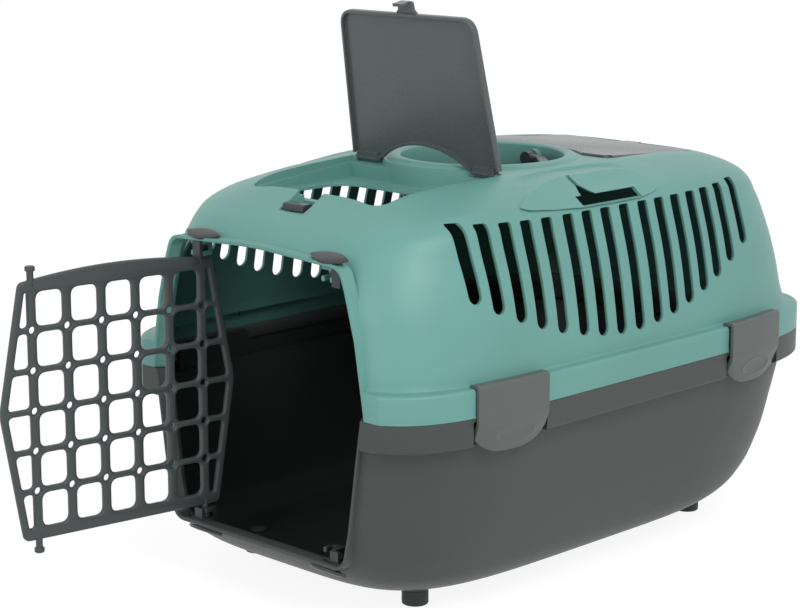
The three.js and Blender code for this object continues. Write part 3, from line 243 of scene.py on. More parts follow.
def keep(base, *others):
    """What base and the others share."""
    return joined(base, others, "INTERSECT")


def twin(thing, change):
    """A copy of a body with its points changed by a turn or a move."""
    copy = thing.copy()
    copy.data = thing.data.copy()
    bpy.context.scene.collection.objects.link(copy)
    points = np.empty(len(copy.data.vertices) * 3, np.float32)
    copy.data.vertices.foreach_get("co", points)
    copy.data.vertices.foreach_set("co", change(points.reshape(-1, 3)).astype(np.float32).ravel())
    copy.data.update()
    return copy


def half_turn(points):
    """Half a turn about Z: x' = -x, y' = -y."""
    return points * np.array([-1, -1, 1])


# Plans and profiles of the two shells

def even_turns(count):
    """Turning angles that space the points of the rim's superellipse evenly along its length."""
    a = np.linspace(0, 2 * np.pi, 20001)
    ring = plan_points(np.array([[RIM_HALF_WIDTH, RIM_FRONT, RIM_REAR, 5.0, 5.0, 0, 0]]), a)[0]
    run = np.concatenate([[0], np.cumsum(np.linalg.norm(np.diff(ring, axis=0), axis=1))])
    return np.interp(np.arange(count) / count * run[-1], run, a)


def plan_points(rows, turns):
    """Superellipse rings: x = w sign(cos a)|cos a|^(2/n), y = l sign(sin a)|sin a|^(2/n).

    The height is h - drop (y / reach)^2. The length l and the power n are each one number in front of the
    middle and another behind it.
    """
    width, front, rear, front_power, rear_power, height, drop = (rows[:, i:i + 1] for i in range(7))
    c, s = np.cos(turns)[None], np.sin(turns)[None]
    power = np.where(s < 0, front_power, rear_power)
    x = width * np.sign(c) * np.abs(c)**(2 / power)
    y = np.where(s < 0, front, rear) * np.sign(s) * np.abs(s)**(2 / power)
    return np.stack([x, y, height - drop * (y / CROWN_REACH)**2], axis=2)


TURNS = even_turns(440)


def ring_rows(profile, share=1.0):
    """Profile rows are side inset, front inset, height, rear power, drop, rear inset, front power."""
    inset, front, height, power, drop, rear, front_power = np.asarray(profile, float).T
    sizes = [(RIM_HALF_WIDTH - inset) * share, (RIM_FRONT - front) * share, (RIM_REAR - rear) * share]
    return np.stack([*sizes, front_power, power, height, drop], axis=1)


def rings_of(profile):
    """The rings of a profile, at the turns that space the rim's points evenly."""
    return plan_points(ring_rows(profile), TURNS)


def capped(profile, shares):
    """The rings of a profile, closed over by smaller copies of its last ring's plan."""
    last = np.repeat(np.asarray(profile[-1:], float), len(shares), axis=0)
    return np.concatenate([rings_of(profile), plan_points(ring_rows(last, np.asarray(shares)), TURNS)])


def thinned(profile):
    """Moves a profile inwards by one wall, square to its side slope."""
    slope = np.gradient(profile[:, [0, 2]], axis=0)
    size = np.linalg.norm(slope, axis=1)
    out = profile.copy()
    out[:, 0] += WALL * slope[:, 1] / size
    out[:, 1] += WALL * slope[:, 1] / size
    out[:, 5] += WALL * slope[:, 1] / size
    out[:, 2] -= WALL * slope[:, 0] / size
    return out


def dense(stations, count):
    """A profile sampled evenly by length on the cubic through its stations."""
    steps = np.linalg.norm(np.diff(stations[:, [0, 2]], axis=0), axis=1)
    knots = np.concatenate([[0], np.cumsum(steps)])
    return hermite(knots, stations, np.linspace(0, knots[-1], count))


# Shares of the roof wall's height and of its insets at the side, front and rear, then the powers in front and
# behind, fitted to the outline in the photo.
ROOF_SHARES = np.array([
    (0.000, 0.000, 0.000, 0.000, 5.60, 5.60), (0.030, 0.004, 0.000, 0.004, 5.50, 5.50),
    (0.097, 0.020, 0.000, 0.020, 5.30, 5.30), (0.250, 0.060, 0.004, 0.060, 4.91, 5.20),
    (0.414, 0.113, 0.004, 0.113, 4.52, 5.10), (0.560, 0.175, 0.050, 0.175, 4.22, 5.00),
    (0.703, 0.250, 0.155, 0.241, 4.08, 4.90), (0.759, 0.281, 0.224, 0.287, 4.20, 4.90),
    (0.828, 0.322, 0.337, 0.326, 4.30, 4.80), (0.883, 0.425, 0.476, 0.373, 4.27, 4.80),
    (0.924, 0.595, 0.596, 0.424, 4.10, 4.80), (0.959, 0.783, 0.689, 0.532, 3.94, 4.70),
    (0.986, 0.954, 0.756, 0.723, 3.85, 4.60), (0.997, 1.039, 0.836, 0.886, 3.76, 4.40),
    (1.000, 1.118, 1.001, 1.084, 3.63, 4.20),
])
# Shares of the tray wall's height and of its insets at the side and front, the power, and more inset behind.
TRAY_SHARES = np.array([
    (0.000, 1.000, 1.000, 4.2, 34), (0.011, 0.820, 0.830, 4.4, 33), (0.037, 0.660, 0.670, 4.6, 31),
    (0.074, 0.550, 0.500, 4.8, 28), (0.134, 0.445, 0.330, 5.0, 21), (0.223, 0.364, 0.170, 5.0, 11),
    (0.431, 0.236, 0.030, 5.1, 3), (0.751, 0.109, 0.000, 5.3, 0), (1.000, 0.027, 0.000, 5.6, 0),
])


def roof_wall():
    """The roof's wall: level = shelf + rise h, and each inset = band step + its width times its share."""
    height, inset, front, rear, front_power, power = ROOF_SHARES.T
    level = SHELF + ROOF_RISE * height
    side = BAND_STEP + ROOF_SIDE_INSET * inset
    ahead = BAND_STEP + ROOF_FRONT_INSET * front
    behind = BAND_STEP + ROOF_SIDE_INSET * rear
    rows = [side, ahead, level, power, CROWN_DROP * height**2, behind, front_power]
    return dense(np.stack(rows, axis=1), 64)


def tray_wall():
    """The tray's wall, worked out as the roof's is. Behind it is inset by more, up to 34 at the floor."""
    height, inset, front, power, more = TRAY_SHARES.T
    side = BAND_STEP + TRAY_SIDE_INSET * inset
    ahead = BAND_STEP + TRAY_FRONT_INSET * front
    rows = [side, ahead, TRAY_WALL * height, power, 0 * height, side + more, power]
    return dense(np.stack(rows, axis=1), 56)


def band_rows(pairs):
    """Profile rows on the band, inset alike all round, from pairs of inset and height."""
    pairs = np.asarray(pairs, float)
    inset, square = pairs[:, 0], np.full(len(pairs), BAND_SQUARENESS)
    return np.stack([inset, inset, pairs[:, 1], square, 0 * inset, inset, square], axis=1)


def wall_block(place):
    """Everything further to the front than a place."""
    return block((-260, -400, -60), (260, -place, 400))


# Doorway
JAMB_STEP = 5
SILL = [(100, 35, 12), (107, 65, 40), (115, 120, 40), (121, 158, 0), (121, 188, 0)]
LINTEL = [
    (125, 128.3, 0), (125, ROOF_BASE, 20), (114.8, 218, 40), (104, 256, 20), (98, 272, 14), (0, 276.5, 420),
]


def doorway_hollow(right):
    """The opening's outline, flared by a rounded edge at the front and narrowed sideways 8 mm behind it."""
    corners = mirrored(right)
    narrow = rounded([(x - np.sign(x) * JAMB_STEP, z, r) for x, z, r in corners], 10)
    lip = 1.6
    rings = [PLACE["y"](narrow, place - FRONT_PLANE) for place in (42, 8)]
    for a in np.radians(np.linspace(0, 90, 6)):
        back = lip * (1 - np.sin(a))
        rings.append(PLACE["y"](rounded(grown(corners, lip * (1 - np.cos(a))), 10), back - FRONT_PLANE))
    rings.append(PLACE["y"](rounded(grown(corners, lip), 10), -40 - FRONT_PLANE))
    return solid(rings)


def doorway_collar(right):
    """The raised frame round the doorway: its outline grown by 3.2, carried 12 deep."""
    outline = rounded(grown(mirrored(right), 3.2), 10)
    return prism(outline, "y", -FRONT_PLANE, 12 - FRONT_PLANE)


# Door pins' sockets
DOOR_OPEN = -98
COLLAR_TOP = 272
COLLAR_FOOT = 35
PIN_X = 77.8
PIN_Y = 12.5 - FRONT_PLANE
PIN_NECK = 2.8
PIN_HEAD = 4.1
DOOR_HALF_TOP = 88.6
DOOR_TOP = 262.5
DOOR_TOP_CORNER = 255.4
DOOR_BOTTOM = 46.5


def door_arch(x):
    """The door's arched top: z = top - drop (x / half width)^2."""
    return DOOR_TOP - (DOOR_TOP - DOOR_TOP_CORNER) * (x / DOOR_HALF_TOP)**2


def pin_socket(side, up):
    """A slotted cheek, a web behind it and a bridge beyond the pin's head."""
    end = door_arch(PIN_X) if up > 0 else DOOR_BOTTOM
    near, far = end + up * 2, end + up * 6
    bridge = end + up * 11.4
    beyond = bridge + up * (9 if up > 0 else 4)
    front, web, back = PIN_Y - PIN_HEAD, PIN_Y + PIN_HEAD + 0.4, PIN_Y + PIN_HEAD + 4
    x = side * PIN_X

    def piece(y_from, y_to, z_from, z_to):
        low, high = sorted((z_from, z_to))
        return block((x - 6.4, y_from, low), (x + 6.4, y_to, high))

    half = PIN_NECK + 0.4
    slot = block((x - half, front - 9, near - 9), (x + half, PIN_Y, near + 9))
    cheek = cut(piece(front, back, near, far), slot, rod("z", (x, PIN_Y), half, near - 9, near + 9))
    return add(cheek, piece(web, back, near, beyond), piece(front, back, bridge, beyond))


def gate_slot(side, up):
    """The slot that a lever's gate slides in."""
    middle = side * (PIN_X + 4.5)
    level = COLLAR_TOP if up > 0 else COLLAR_FOOT
    gate_back = PIN_Y - PIN_HEAD - GAP
    return block((middle - 9.3, gate_back - 3.3, level - 10), (middle + 9.3, gate_back + GAP, level + 10))


# Clips' seats on the band
CLIP_PLACE = 162.5
CLIP_HALF = 42.0
CLIP_FACE = 38.0
CLIP_REAR_SLIDE = -9.5


def band_x(y):
    """Half width of the band at y, from its superellipse: w (1 - |y / l|^n)^(1 / n)."""
    length = np.where(np.asarray(y) < 0, RIM_FRONT, CLIP_LINE_REAR)
    return RIM_HALF_WIDTH * (1 - np.abs(y / length)**BAND_SQUARENESS)**(1 / BAND_SQUARENESS)


def clip_seat(side, end):
    """A change of points from a clip's frame (out, along, up) to the band's place that it sits on."""
    run = band_x(end * (CLIP_PLACE + CLIP_HALF)) - band_x(end * (CLIP_PLACE - CLIP_HALF))
    yaw = -np.arctan(run / (end * 2 * CLIP_HALF))
    yaw = yaw if side > 0 else np.pi - yaw
    c, s = np.cos(yaw), np.sin(yaw)
    centre = np.array([side * band_x(end * CLIP_PLACE), end * CLIP_PLACE, 0])
    turn = np.array([[c, s, 0], [-s, c, 0], [0, 0, 1]])
    slide = np.array([0, side * CLIP_REAR_SLIDE if end > 0 else 0, 0])
    return lambda points: (points + slide) @ turn + centre


def clip_pocket(seat, extra, ear):
    """The recess in the tray's band behind a clip; with extra, the room that its wall takes inside."""
    half = CLIP_FACE + 2.0 + ear
    low = TRAY_WALL - (WALL if extra else FAR)
    return block((-9.4 - extra, -half, low), (FAR, half, TRAY_DEPTH - WALL + extra), seat)


FOOT_X = 96
FOOT_PLACES = {"front": -181, "rear": 179}
HANDS = {"left": -1, "right": 1}
FEET = {
    f"foot_{end}_{hand}": (side * FOOT_X, y)
    for end, y in FOOT_PLACES.items() for hand, side in HANDS.items()
}
SEATS = {(side, end): clip_seat(side, end) for side in (-1, 1) for end in (-1, 1)}


# Tray

def tray_shape():
    """The tray: outer rings less inner ones, with lip, doorway, sockets, clips' seats and feet's holes."""
    wall = tray_wall()
    r = 3.0
    under = arc((r, TRAY_WALL + r + 0.4), r, 270, 180, 7)
    band = [band_rows([(7.5, TRAY_WALL + 0.4)]), band_rows(under), band_rows([(0, TRAY_DEPTH)])]
    outside = np.concatenate([wall[:-1], *band])
    inner = thinned(wall)
    inner = inner[inner[:, 2] < TRAY_WALL + 1]
    inner[0, 2] = WALL
    inner[:, 2] = np.maximum.accumulate(inner[:, 2])
    ledge = inner[-1].copy()
    ledge[2] = TRAY_WALL + WALL
    upper = band_rows([(WALL, TRAY_WALL + WALL + 0.05), (WALL, TRAY_DEPTH + FAR)])
    inside = np.concatenate([inner[:-1], ledge[None], upper])
    boss = [(0, -3), (11.6, -3), (12.6, -2), (12.6, 12), (0, 12)]
    shell = add(solid(rings_of(outside)), *[turned(boss, at, 48) for at in FEET.values()])
    cabin = cut(solid(rings_of(inside)), wall_block(FRONT_PLANE - WALL))
    cabin = cut(cabin, *[clip_pocket(seat, WALL, 2.6) for seat in SEATS.values()])
    lip = cut(solid(rings_of(band_rows([(2.5, 150), (2.5, 157.7), (3.1, 158), (3.1, 162)]))),
              solid(rings_of(band_rows([(5.5, 149), (5.5, 163)]))), wall_block(FRONT_PLANE - WALL - GAP))
    collar = cut(doorway_collar(SILL), block((-400, -400, TRAY_DEPTH), (400, 400, 500)))
    shell = add(cut(shell, cabin), lip)
    shell = add(cut(shell, wall_block(FRONT_PLANE)), collar)
    shell = cut(shell, *[clip_pocket(s, 0, 0) for s in SEATS.values()])
    shell = cut(shell, *[rod("y", (-6, 147), 2.2, -47.3, 47.3, turn=s) for s in SEATS.values()])
    shell = cut(shell, doorway_hollow(SILL))
    shell = add(shell, pin_socket(1, -1), pin_socket(-1, -1))
    shell = cut(shell, gate_slot(1, -1), gate_slot(-1, -1))
    for at in FEET.values():
        shell = cut(shell, rod("z", at, 5.3, -30, 33), rod("z", at, 7.8, WALL, 12))
    return shell


# Roof
LID_HINGE = 70.0
LID_LENGTH = 132.0
LID_BARREL = 2.8
LID_TILT = np.arctan2(8.8, LID_LENGTH)
LID_AXIS = 321.4
LID_SEAT = -3.6
LID_UNDER = -3.2
PAN_FLOOR = 304.8
CHEEK_X = 81.4
STUB_ROOT = 80.8
LID_OPEN = 83
HANDLE_AXIS = 314.5
CATCH_ENDS = (-223.5, -212.5)


def about_x(angle):
    """Turns points about X: y' = y cos - z sin, z' = y sin + z cos."""
    c, s = np.cos(angle), np.sin(angle)
    turn = np.array([[1, 0, 0], [0, c, s], [0, -s, c]])
    return lambda points: points @ turn


def onto_roof(points):
    """From a lid's own frame, hinge at the origin, to its shut place before the bowl."""
    return about_x(LID_TILT)(points) + np.array([0, -LID_HINGE, LID_AXIS])


def lid_corners(margin, hinge_y=None):
    """A lid's tapered plan with a margin round it, its free corners rounded."""
    near = LID_BARREL + margin if hinge_y is None else hinge_y
    return [(-86 - margin, near, 0), (-77 - margin, -LID_LENGTH - margin, 15 + margin),
            (77 + margin, -LID_LENGTH - margin, 15 + margin), (86 + margin, near, 0)]


def rim_radius(margin):
    """Radius of the bowl's rim with a margin."""
    return 86.8 + margin


def pan_hollow(extra):
    """The seat of a lid, a narrower pan under it, less the bowl's round and the cheeks of the hinge."""
    seat = LID_SEAT
    near = LID_BARREL + 1.3 + extra
    lid_part = prism(rounded(lid_corners(0.6 + extra, near), 14), "z", seat - extra, FAR, onto_roof)
    pan = [(x, y - LID_HINGE, r) for x, y, r in lid_corners(extra - 4.6, extra - 11)]
    under_seat = block((-300, -300, -500), (300, near, seat + GAP), onto_roof)
    pan_part = keep(prism(rounded(pan, 14), "z", PAN_FLOOR - extra, CROWN), under_seat)
    hollow = cut(add(lid_part, pan_part), rod("z", (0, 0), rim_radius(0.6 - extra), 0, 400, 128))
    if extra:
        return hollow
    front = -LID_BARREL - 0.6
    right_cheek = block((CHEEK_X, front, -30), (200, 30, 30), onto_roof)
    left_cheek = block((-200, front, -30), (-CHEEK_X, 30, 30), onto_roof)
    return cut(hollow, right_cheek, left_cheek)


def notch_hollow(extra):
    """The D-shaped notch in a pan for its catch."""
    half, near = 14.4 + extra, -232 - extra
    corners = [(-half, -197.4, 0), (-half, near, 8 + extra), (half, near, 8 + extra), (half, -197.4, 0)]
    return prism(rounded(corners, 10), "z", 300 - extra, 400)


def roof_opening():
    """The opening in a pan's floor, a rounded rectangle."""
    corners = [(-64, -106, 22), (-64, -189, 22), (64, -189, 22), (64, -106, 22)]
    return prism(rounded(corners, 12), "z", 270, 307)


def stub_bores():
    """Holes in the hinge cheeks for a lid's stubs."""
    spans = ((STUB_ROOT, 84.8), (-84.8, -STUB_ROOT))
    return [rod("x", (0, 0), 2.3, low, high, turn=onto_roof) for low, high in spans]


def bowl_hollow(extra):
    """The bowl under the handle: a flat floor, a quarter round, then a wall that flares to its mouth."""
    foot = arc((65.4 + extra, 294.1), 4.1 + extra, 270, 350, 8)
    foot[:, 0] -= extra
    mouth = [(70.4 + extra, 318), (71.2 + extra, 324.2), (71.6 + extra, 360)]
    return turned([(0, 290 - extra), *foot.tolist(), *mouth, (0, 360)], around=160)


def bowl_rim():
    """A tier round the bowl: an upright edge, a small step, then a broad rounded lip turning down into it."""
    lip = [(86.8, 300), (86.8, 318.2), (86.3, 318.9), (85.6, 319.4), (84.9, 319.6), (84.4, 320.6),
           (83.4, 322.8), (81.9, 324.4), (80, 325.3), (78, 325.8), (76, 325.9), (74.4, 325.7),
           (73, 325.3), (71.9, 324.7), (71.2, 324.0), (70.4, 321)]
    return turned([(0, 300), *lip, (0, 321)], around=160)


def handle_bosses():
    """Two round bosses in the bowl's wall that carry the handle's pins."""
    axis = (0, HANDLE_AXIS)
    return add(rod("y", axis, 7.4, 65.8, 80.8, 48), rod("y", axis, 7.4, -80.8, -65.8, 48))


VENT_PLACES = (
    -178.5, -157.3, -134.5, -112.2, -88.7, -63.4, -40.1, -16.5,
    7.5, 31.8, 54.0, 76.1, 97.7, 118.3, 140.2, 164.4,
)


def vent_cuts(side):
    """Sixteen uprights, with shares s of the row from -1 to 1.

    Their bottoms follow 193.8 + 51 |s|^1.87, in front less 4 s^4, and their tops 297 + 4 s^4. Each bottom is
    a half circle, each top is flat with small rounds.
    """
    cuts = []
    half = 6.3
    for index, y in enumerate(VENT_PLACES):
        share = (2 * index - 15) / 15
        bottom = 193.8 + 51 * abs(share)**1.87 - 4 * max(-share, 0)**4
        top = 297 + 4 * share**4
        foot = arc((y, bottom + half), half, 180, 360, 15)
        heads = [arc((y + half - 2, top - 2), 2, 0, 90, 4), arc((y - half + 2, top - 2), 2, 90, 180, 4)]
        outline = np.concatenate([foot, *heads])
        cuts.append(prism(outline, "x", 92.5, 215) if side > 0 else prism(outline, "x", -215, -92.5))
    return cuts


def belt_guide(side, extra):
    """A leaf-shaped panel on the shoulder: the outline (y, z) carried sideways to x = 152 - 1.6 (z - 300)."""
    leaf = [
        (-106.1, 308), (-84.8, 313.5), (-61.1, 318.2), (-42.1, 320.1), (-24.7, 321),
        (-11, 320.6), (-2.2, 320.4), (15, 320.7), (35, 320), (48.5, 318.4),
        (58.8, 313.3), (65.5, 308.1), (67.1, 304.8), (49, 301.6), (29.7, 299.9),
        (-5.6, 299.8), (-43.3, 300), (-76.1, 301.6), (-102.3, 303.8), (-108.7, 305.7),
    ]
    if extra:
        leaf = [c[:2] for c in grown(leaf, extra)]
    low, high = sorted((side * 84, side * 215))
    shift = 1.6 * extra
    face = np.array([(0, 250), (232 - shift, 250), (56 - shift, 360), (0, 360)]) * np.array([side, 1])
    return keep(prism(np.array(leaf), "x", low, high), prism(face, "y", -160, 160))


def valley(side, extra):
    """A shallow hollow above the leaf: an ellipsoid about (112, -15, 330) with half axes 19, 112 and 15."""
    t = np.linspace(0.001, np.pi - 0.001, 90)[:, None]
    a = np.linspace(0, 2 * np.pi, 72, endpoint=False)[None]
    wide, long, deep = 19 + extra, 112 + extra, 15 + extra
    x = side * (112 + wide * np.sin(t) * np.cos(a))
    return solid(np.stack([x, -15 - long * np.cos(t) + 0 * a, 330 + deep * np.sin(t) * np.sin(a)], axis=2))


def belt_cuts(side):
    """The belt's slot, the slit it is put in by, and the slit's mouth widening down to the slot."""
    low, high = sorted((side * 106, side * 215))
    slit_low, slit_high = sorted((side * 118, side * 215))
    mouth = np.array([(-34.5, 307), (-16, 307), (-23.9, 313.5), (-28.4, 313.5)])
    return [block((low, -41.5, 300.2), (high, 34, 307.4)), prism(mouth, "x", low, high),
            block((slit_low, -28.4, 305), (slit_high, -23.9, 356))]


def roof_shape():
    """The roof: outer rings less inner ones, then bowl, pans, doorway, belt guides and vents."""
    wall = roof_wall()
    corner = arc((3, SHELF - 3), 3, 180, 90, 7)
    root = arc((8.0, SHELF + 2.0), 2.0, 270, 360, 5)
    keep_rows = wall[wall[:, 2] > SHELF + 2.2]
    outside = np.concatenate([band_rows([(0, ROOF_BASE)]), band_rows(corner), band_rows(root), keep_rows])
    inner = thinned(wall)
    inner = inner[inner[:, 2] > SHELF]
    ledge = inner[0].copy()
    ledge[2] = SHELF - WALL
    lower = band_rows([(WALL, ROOF_BASE - FAR), (WALL, SHELF - WALL - 0.05)])
    inside = np.concatenate([lower, ledge[None], inner])
    shares = np.linspace(1, 0.04, 22)[1:]
    shell = cut(solid(capped(outside, shares)), valley(1, 0), valley(-1, 0))
    shell = add(shell, bowl_rim(), belt_guide(1, 0), belt_guide(-1, 0))
    cabin = cut(solid(capped(inside, shares)), valley(1, WALL), valley(-1, WALL))
    cabin = add(cabin, belt_guide(1, WALL), belt_guide(-1, WALL))
    pan, notch = pan_hollow(WALL), notch_hollow(WALL)
    cabin = cut(cabin, wall_block(FRONT_PLANE - WALL), bowl_hollow(WALL))
    cabin = cut(cabin, twin(pan, half_turn), twin(notch, half_turn), pan, notch)
    collar = cut(doorway_collar(LINTEL), block((-400, -400, -100), (400, 400, ROOF_BASE)))
    shell = add(cut(shell, cabin, wall_block(FRONT_PLANE)), collar)
    catch_slot = block((-4.8, -224.2, 270), (4.8, -215.2, 302.8))
    hollows = [pan_hollow(0), notch_hollow(0), roof_opening(), catch_slot, *stub_bores()]
    shell = cut(shell, *[twin(h, half_turn) for h in hollows], *hollows)
    shell = cut(shell, doorway_hollow(LINTEL))
    shell = add(shell, pin_socket(1, 1), pin_socket(-1, 1))
    shell = cut(shell, gate_slot(1, 1), gate_slot(-1, 1), *belt_cuts(1), *belt_cuts(-1))
    shell = cut(shell, *vent_cuts(1), *vent_cuts(-1))
    shell = cut(shell, cut(bowl_hollow(0), handle_bosses()))
    axis = (0, HANDLE_AXIS)
    return cut(shell, rod("y", axis, 3.4, 56.5, 72.8), rod("y", axis, 3.4, -72.8, -56.5))


# Flat plates with rounded edges

def plate(outlines, thickness, edge, name="plate"):
    """A flat outline with holes, thick along Z about zero, its edges rounded by quarter circles."""
    curve = bpy.data.curves.new(name, "CURVE")
    curve.dimensions = "2D"
    curve.fill_mode = "BOTH"
    curve.extrude = thickness / 2 - edge
    curve.bevel_depth = edge
    curve.bevel_resolution = 2
    curve.offset = -edge
    for outline in outlines:
        spline = curve.splines.new("POLY")
        spline.points.add(len(outline) - 1)
        places = np.concatenate([outline, 0 * outline], axis=1)
        spline.points.foreach_set("co", places.astype(np.float32).ravel())
        spline.use_cyclic_u = True
    flat = bpy.data.objects.new(name, curve)
    bpy.context.scene.collection.objects.link(flat)
    graph = bpy.context.evaluated_depsgraph_get()
    graph.update()
    mesh = bpy.data.meshes.new_from_object(flat.evaluated_get(graph))
    bpy.data.objects.remove(flat)
    made = bpy.data.objects.new(name, mesh)
    bpy.context.scene.collection.objects.link(made)
    work = bmesh.new()
    work.from_mesh(mesh)
    bmesh.ops.remove_doubles(work, verts=work.verts, dist=0.01)
    bmesh.ops.recalc_face_normals(work, faces=work.faces)
    work.to_mesh(mesh)
    work.free()
    return made


def moved(thing, change):
    """Changes a body's points in place."""
    points = np.empty(len(thing.data.vertices) * 3, np.float32)
    thing.data.vertices.foreach_get("co", points)
    thing.data.vertices.foreach_set("co", change(points.reshape(-1, 3)).astype(np.float32).ravel())
    thing.data.update()
    return thing


DOOR_WAIST = (108.2, 152.0)
GRID_HALF = 78.0
GRID_BOTTOM = 151.8 - 97.8
GRID_ROW = 32.6
GRID_COLUMN = 31.2
ROW_BAR = 4.8
COLUMN_BAR = 7.2
WINDOW_WIDTH = 24.0


def door_side(height):
    """Half width of the door at a height: two straight lines that meet at the waist."""
    upper = height > DOOR_WAIST[1]
    end = (DOOR_HALF_TOP, DOOR_TOP_CORNER) if upper else (91.0, DOOR_BOTTOM)
    share = (height - DOOR_WAIST[1]) / (end[1] - DOOR_WAIST[1])
    return DOOR_WAIST[0] + share * (end[0] - DOOR_WAIST[0])


def door_outlines():
    """The grille's rim, six rows of five windows with one more at each side, and round holes between them."""
    arch = [(x, door_arch(x), 0) for x in DOOR_HALF_TOP * np.linspace(0.9, -0.9, 19)]
    right = [(91, DOOR_BOTTOM, 6), (*DOOR_WAIST, 34), (DOOR_HALF_TOP, DOOR_TOP_CORNER, 6)]
    rim = [*right, *arch, *[(-x, z, r) for x, z, r in reversed(right)]]
    outlines = [rounded(rim, 8)]
    for row in range(6):
        low = GRID_BOTTOM + row * GRID_ROW + ROW_BAR / 2
        high = low + GRID_ROW - ROW_BAR
        for column in range(5):
            left = column * GRID_COLUMN - GRID_HALF + COLUMN_BAR / 2
            right = left + WINDOW_WIDTH
            window = [(left, low, 7), (right, low, 7), (right, high, 7), (left, high, 7)]
            outlines.append(rounded(window, 6))
        inner = GRID_HALF + COLUMN_BAR / 2
        corners = [(inner, low), (door_side(low) - 6, low)]
        waist = DOOR_WAIST[1]
        if low < waist < high:
            corners.append((door_side(waist) - 6, waist))
        corners += [(door_side(high) - 6, high), (inner, high)]
        right_hole = rounded([(x, z, 4) for x, z in corners], 6)
        outlines += [right_hole, right_hole[::-1] * np.array([-1, 1])]
    for row in range(1, 6):
        for column in range(6):
            crossing = (column * GRID_COLUMN - GRID_HALF, GRID_BOTTOM + row * GRID_ROW)
            outlines.append(arc(crossing, 2.9, 0, 360, 21)[:-1])
    return outlines


def door_shape():
    """The grille in its own frame, upright in the plane y = 0, and its four headed pins."""
    grille = plate(door_outlines(), 5.0, 1.5)
    moved(grille, lambda p: np.stack([p[:, 0], -p[:, 2], p[:, 1]], axis=1))
    top, bottom = door_arch(PIN_X), DOOR_BOTTOM
    pins = []
    for x in (-PIN_X, PIN_X):
        for end, way in ((top, 1), (bottom, -1)):
            profile = [(0, -5), (PIN_NECK, -5), (PIN_NECK, 7), (PIN_HEAD - 0.4, 7), (PIN_HEAD, 7.4),
                       (PIN_HEAD, 10.2), (PIN_HEAD - 0.8, 11), (0, 11)]
            pins.append(turned([(radius, end + way * rise) for radius, rise in profile][::way], (x, 0), 32))
    return grille, pins


def place_door(points):
    """From the door's own frame, closed, to its rest: a turn by DOOR_OPEN degrees about the left pins."""
    a = np.radians(DOOR_OPEN)
    shifted = points + np.array([PIN_X, 0, 0])
    c, s = np.cos(a), np.sin(a)
    return shifted @ np.array([[c, s, 0], [-s, c, 0], [0, 0, 1]]) + np.array([-PIN_X, PIN_Y, 0])


# Lids, catches, handle, levers, clips and feet

def lid_outline(inset):
    """The lid's plan less an inset: a tapered plate with an arch round the bowl between its hinge feet."""
    reach, hinge = rim_radius(1.2) + inset, 1.5 - inset
    half = np.sqrt(reach**2 - (LID_HINGE - hinge)**2)
    start = np.degrees(np.arctan2(hinge - LID_HINGE, half))
    arch = arc((0, LID_HINGE), reach, start, -180 - start, 61)
    return np.concatenate([rounded(lid_corners(-inset, hinge), 14), arch])


def lid_shape():
    """A shallow cover with hinge feet, stubs, tab and nib; hinge axis at the origin, free edge towards -Y."""
    top, under = LID_BARREL, LID_UNDER
    middle = np.array([0, 0, (top + under) / 2])
    lid = moved(plate([lid_outline(0)], top - under, 1.2), lambda p: p + middle)
    outer = STUB_ROOT
    lid = cut(lid, prism(lid_outline(2.6), "z", under - 3, 0.2), block((outer, -4.2, -30), (200, 30, 30)),
              block((-200, -4.2, -30), (-outer, 30, 30)))
    for side in (-1, 1):
        spans = [sorted((side * 56, side * outer)), sorted((side * (outer - 2), side * (outer + 3.4)))]
        foot = block((spans[0][0], -6, under + 0.3), (spans[0][1], 1.0, 1.4))
        lid = add(lid, foot, rod("x", (0, 0), 2.0, *spans[1]))
    tip = -LID_LENGTH - 10
    right = [(8.5, tip, 3), (8.5, -LID_LENGTH - 3, 3), (11.5, -LID_LENGTH, 0), (11.5, -LID_LENGTH + 3, 0)]
    tab = prism(rounded([*[(-x, y, r) for x, y, r in reversed(right)], *right], 6), "z", 0.2, top)
    return add(lid, tab, block((-5.5, tip, -8.4), (5.5, tip + 2.4, top - 1.3)))


def catch_shape():
    """A sliding catch: a rounded bar, a neck through its slot and a foot below."""
    front, rear = CATCH_ENDS
    bar = rounded([(front, 300.3, 0.6), (rear, 300.3, 0.6), (rear, 306.6, 3), (front, 306.6, 3)], 5)
    neck = block((-4.5, -220.5, 296.6), (4.5, -215.5, 302.7))
    foot = block((-7, front, 294.9), (7, rear, 296.9))
    return add(prism(bar, "x", -12, 12), neck, foot)


def handle_shape():
    """A rounded bar on the bail's centre line: rings centre + n a cos^0.6 + z b sin^0.6, n square to it."""
    half = [(46, 32, 20), (13.5, 61, 20), (0, 61, 0)]
    line = rounded([*[(x, -y, r) for x, y, r in reversed(half)], *half], 14)
    ahead = np.gradient(line, axis=0)
    ahead /= np.linalg.norm(ahead, axis=1)[:, None]
    side = np.stack([ahead[:, 1], -ahead[:, 0]], axis=1)
    run = np.concatenate([[0], np.cumsum(np.linalg.norm(np.diff(line, axis=0), axis=1))])
    middle = np.abs(run - run[-1] / 2) / (run[-1] / 2)
    wide = np.interp(middle, [0, 0.35, 0.6, 1], [5.5, 5.5, 4.7, 4.5])
    a = np.linspace(0, 2 * np.pi, 32, endpoint=False)
    c = np.sign(np.cos(a)) * np.abs(np.cos(a))**0.6
    s = np.sign(np.sin(a)) * np.abs(np.sin(a))**0.6
    rings = np.zeros((len(line), 32, 3))
    rings[:, :, :2] = line[:, None] + side[:, None] * (wide[:, None] * c[None])[:, :, None]
    rings[:, :, 2] = 4.2 * s
    bail = solid(rings)
    for end in (-1, 1):
        spans = [sorted((end * 56.5, end * 65.5)), sorted((end * 65.2, end * 72.5))]
        bail = add(bail, rod("y", (0, 0), 6.2, *spans[0], 48), rod("y", (0, 0), 3.1, *spans[1]))
    return moved(bail, lambda p: p + np.array([0, 0, HANDLE_AXIS]))


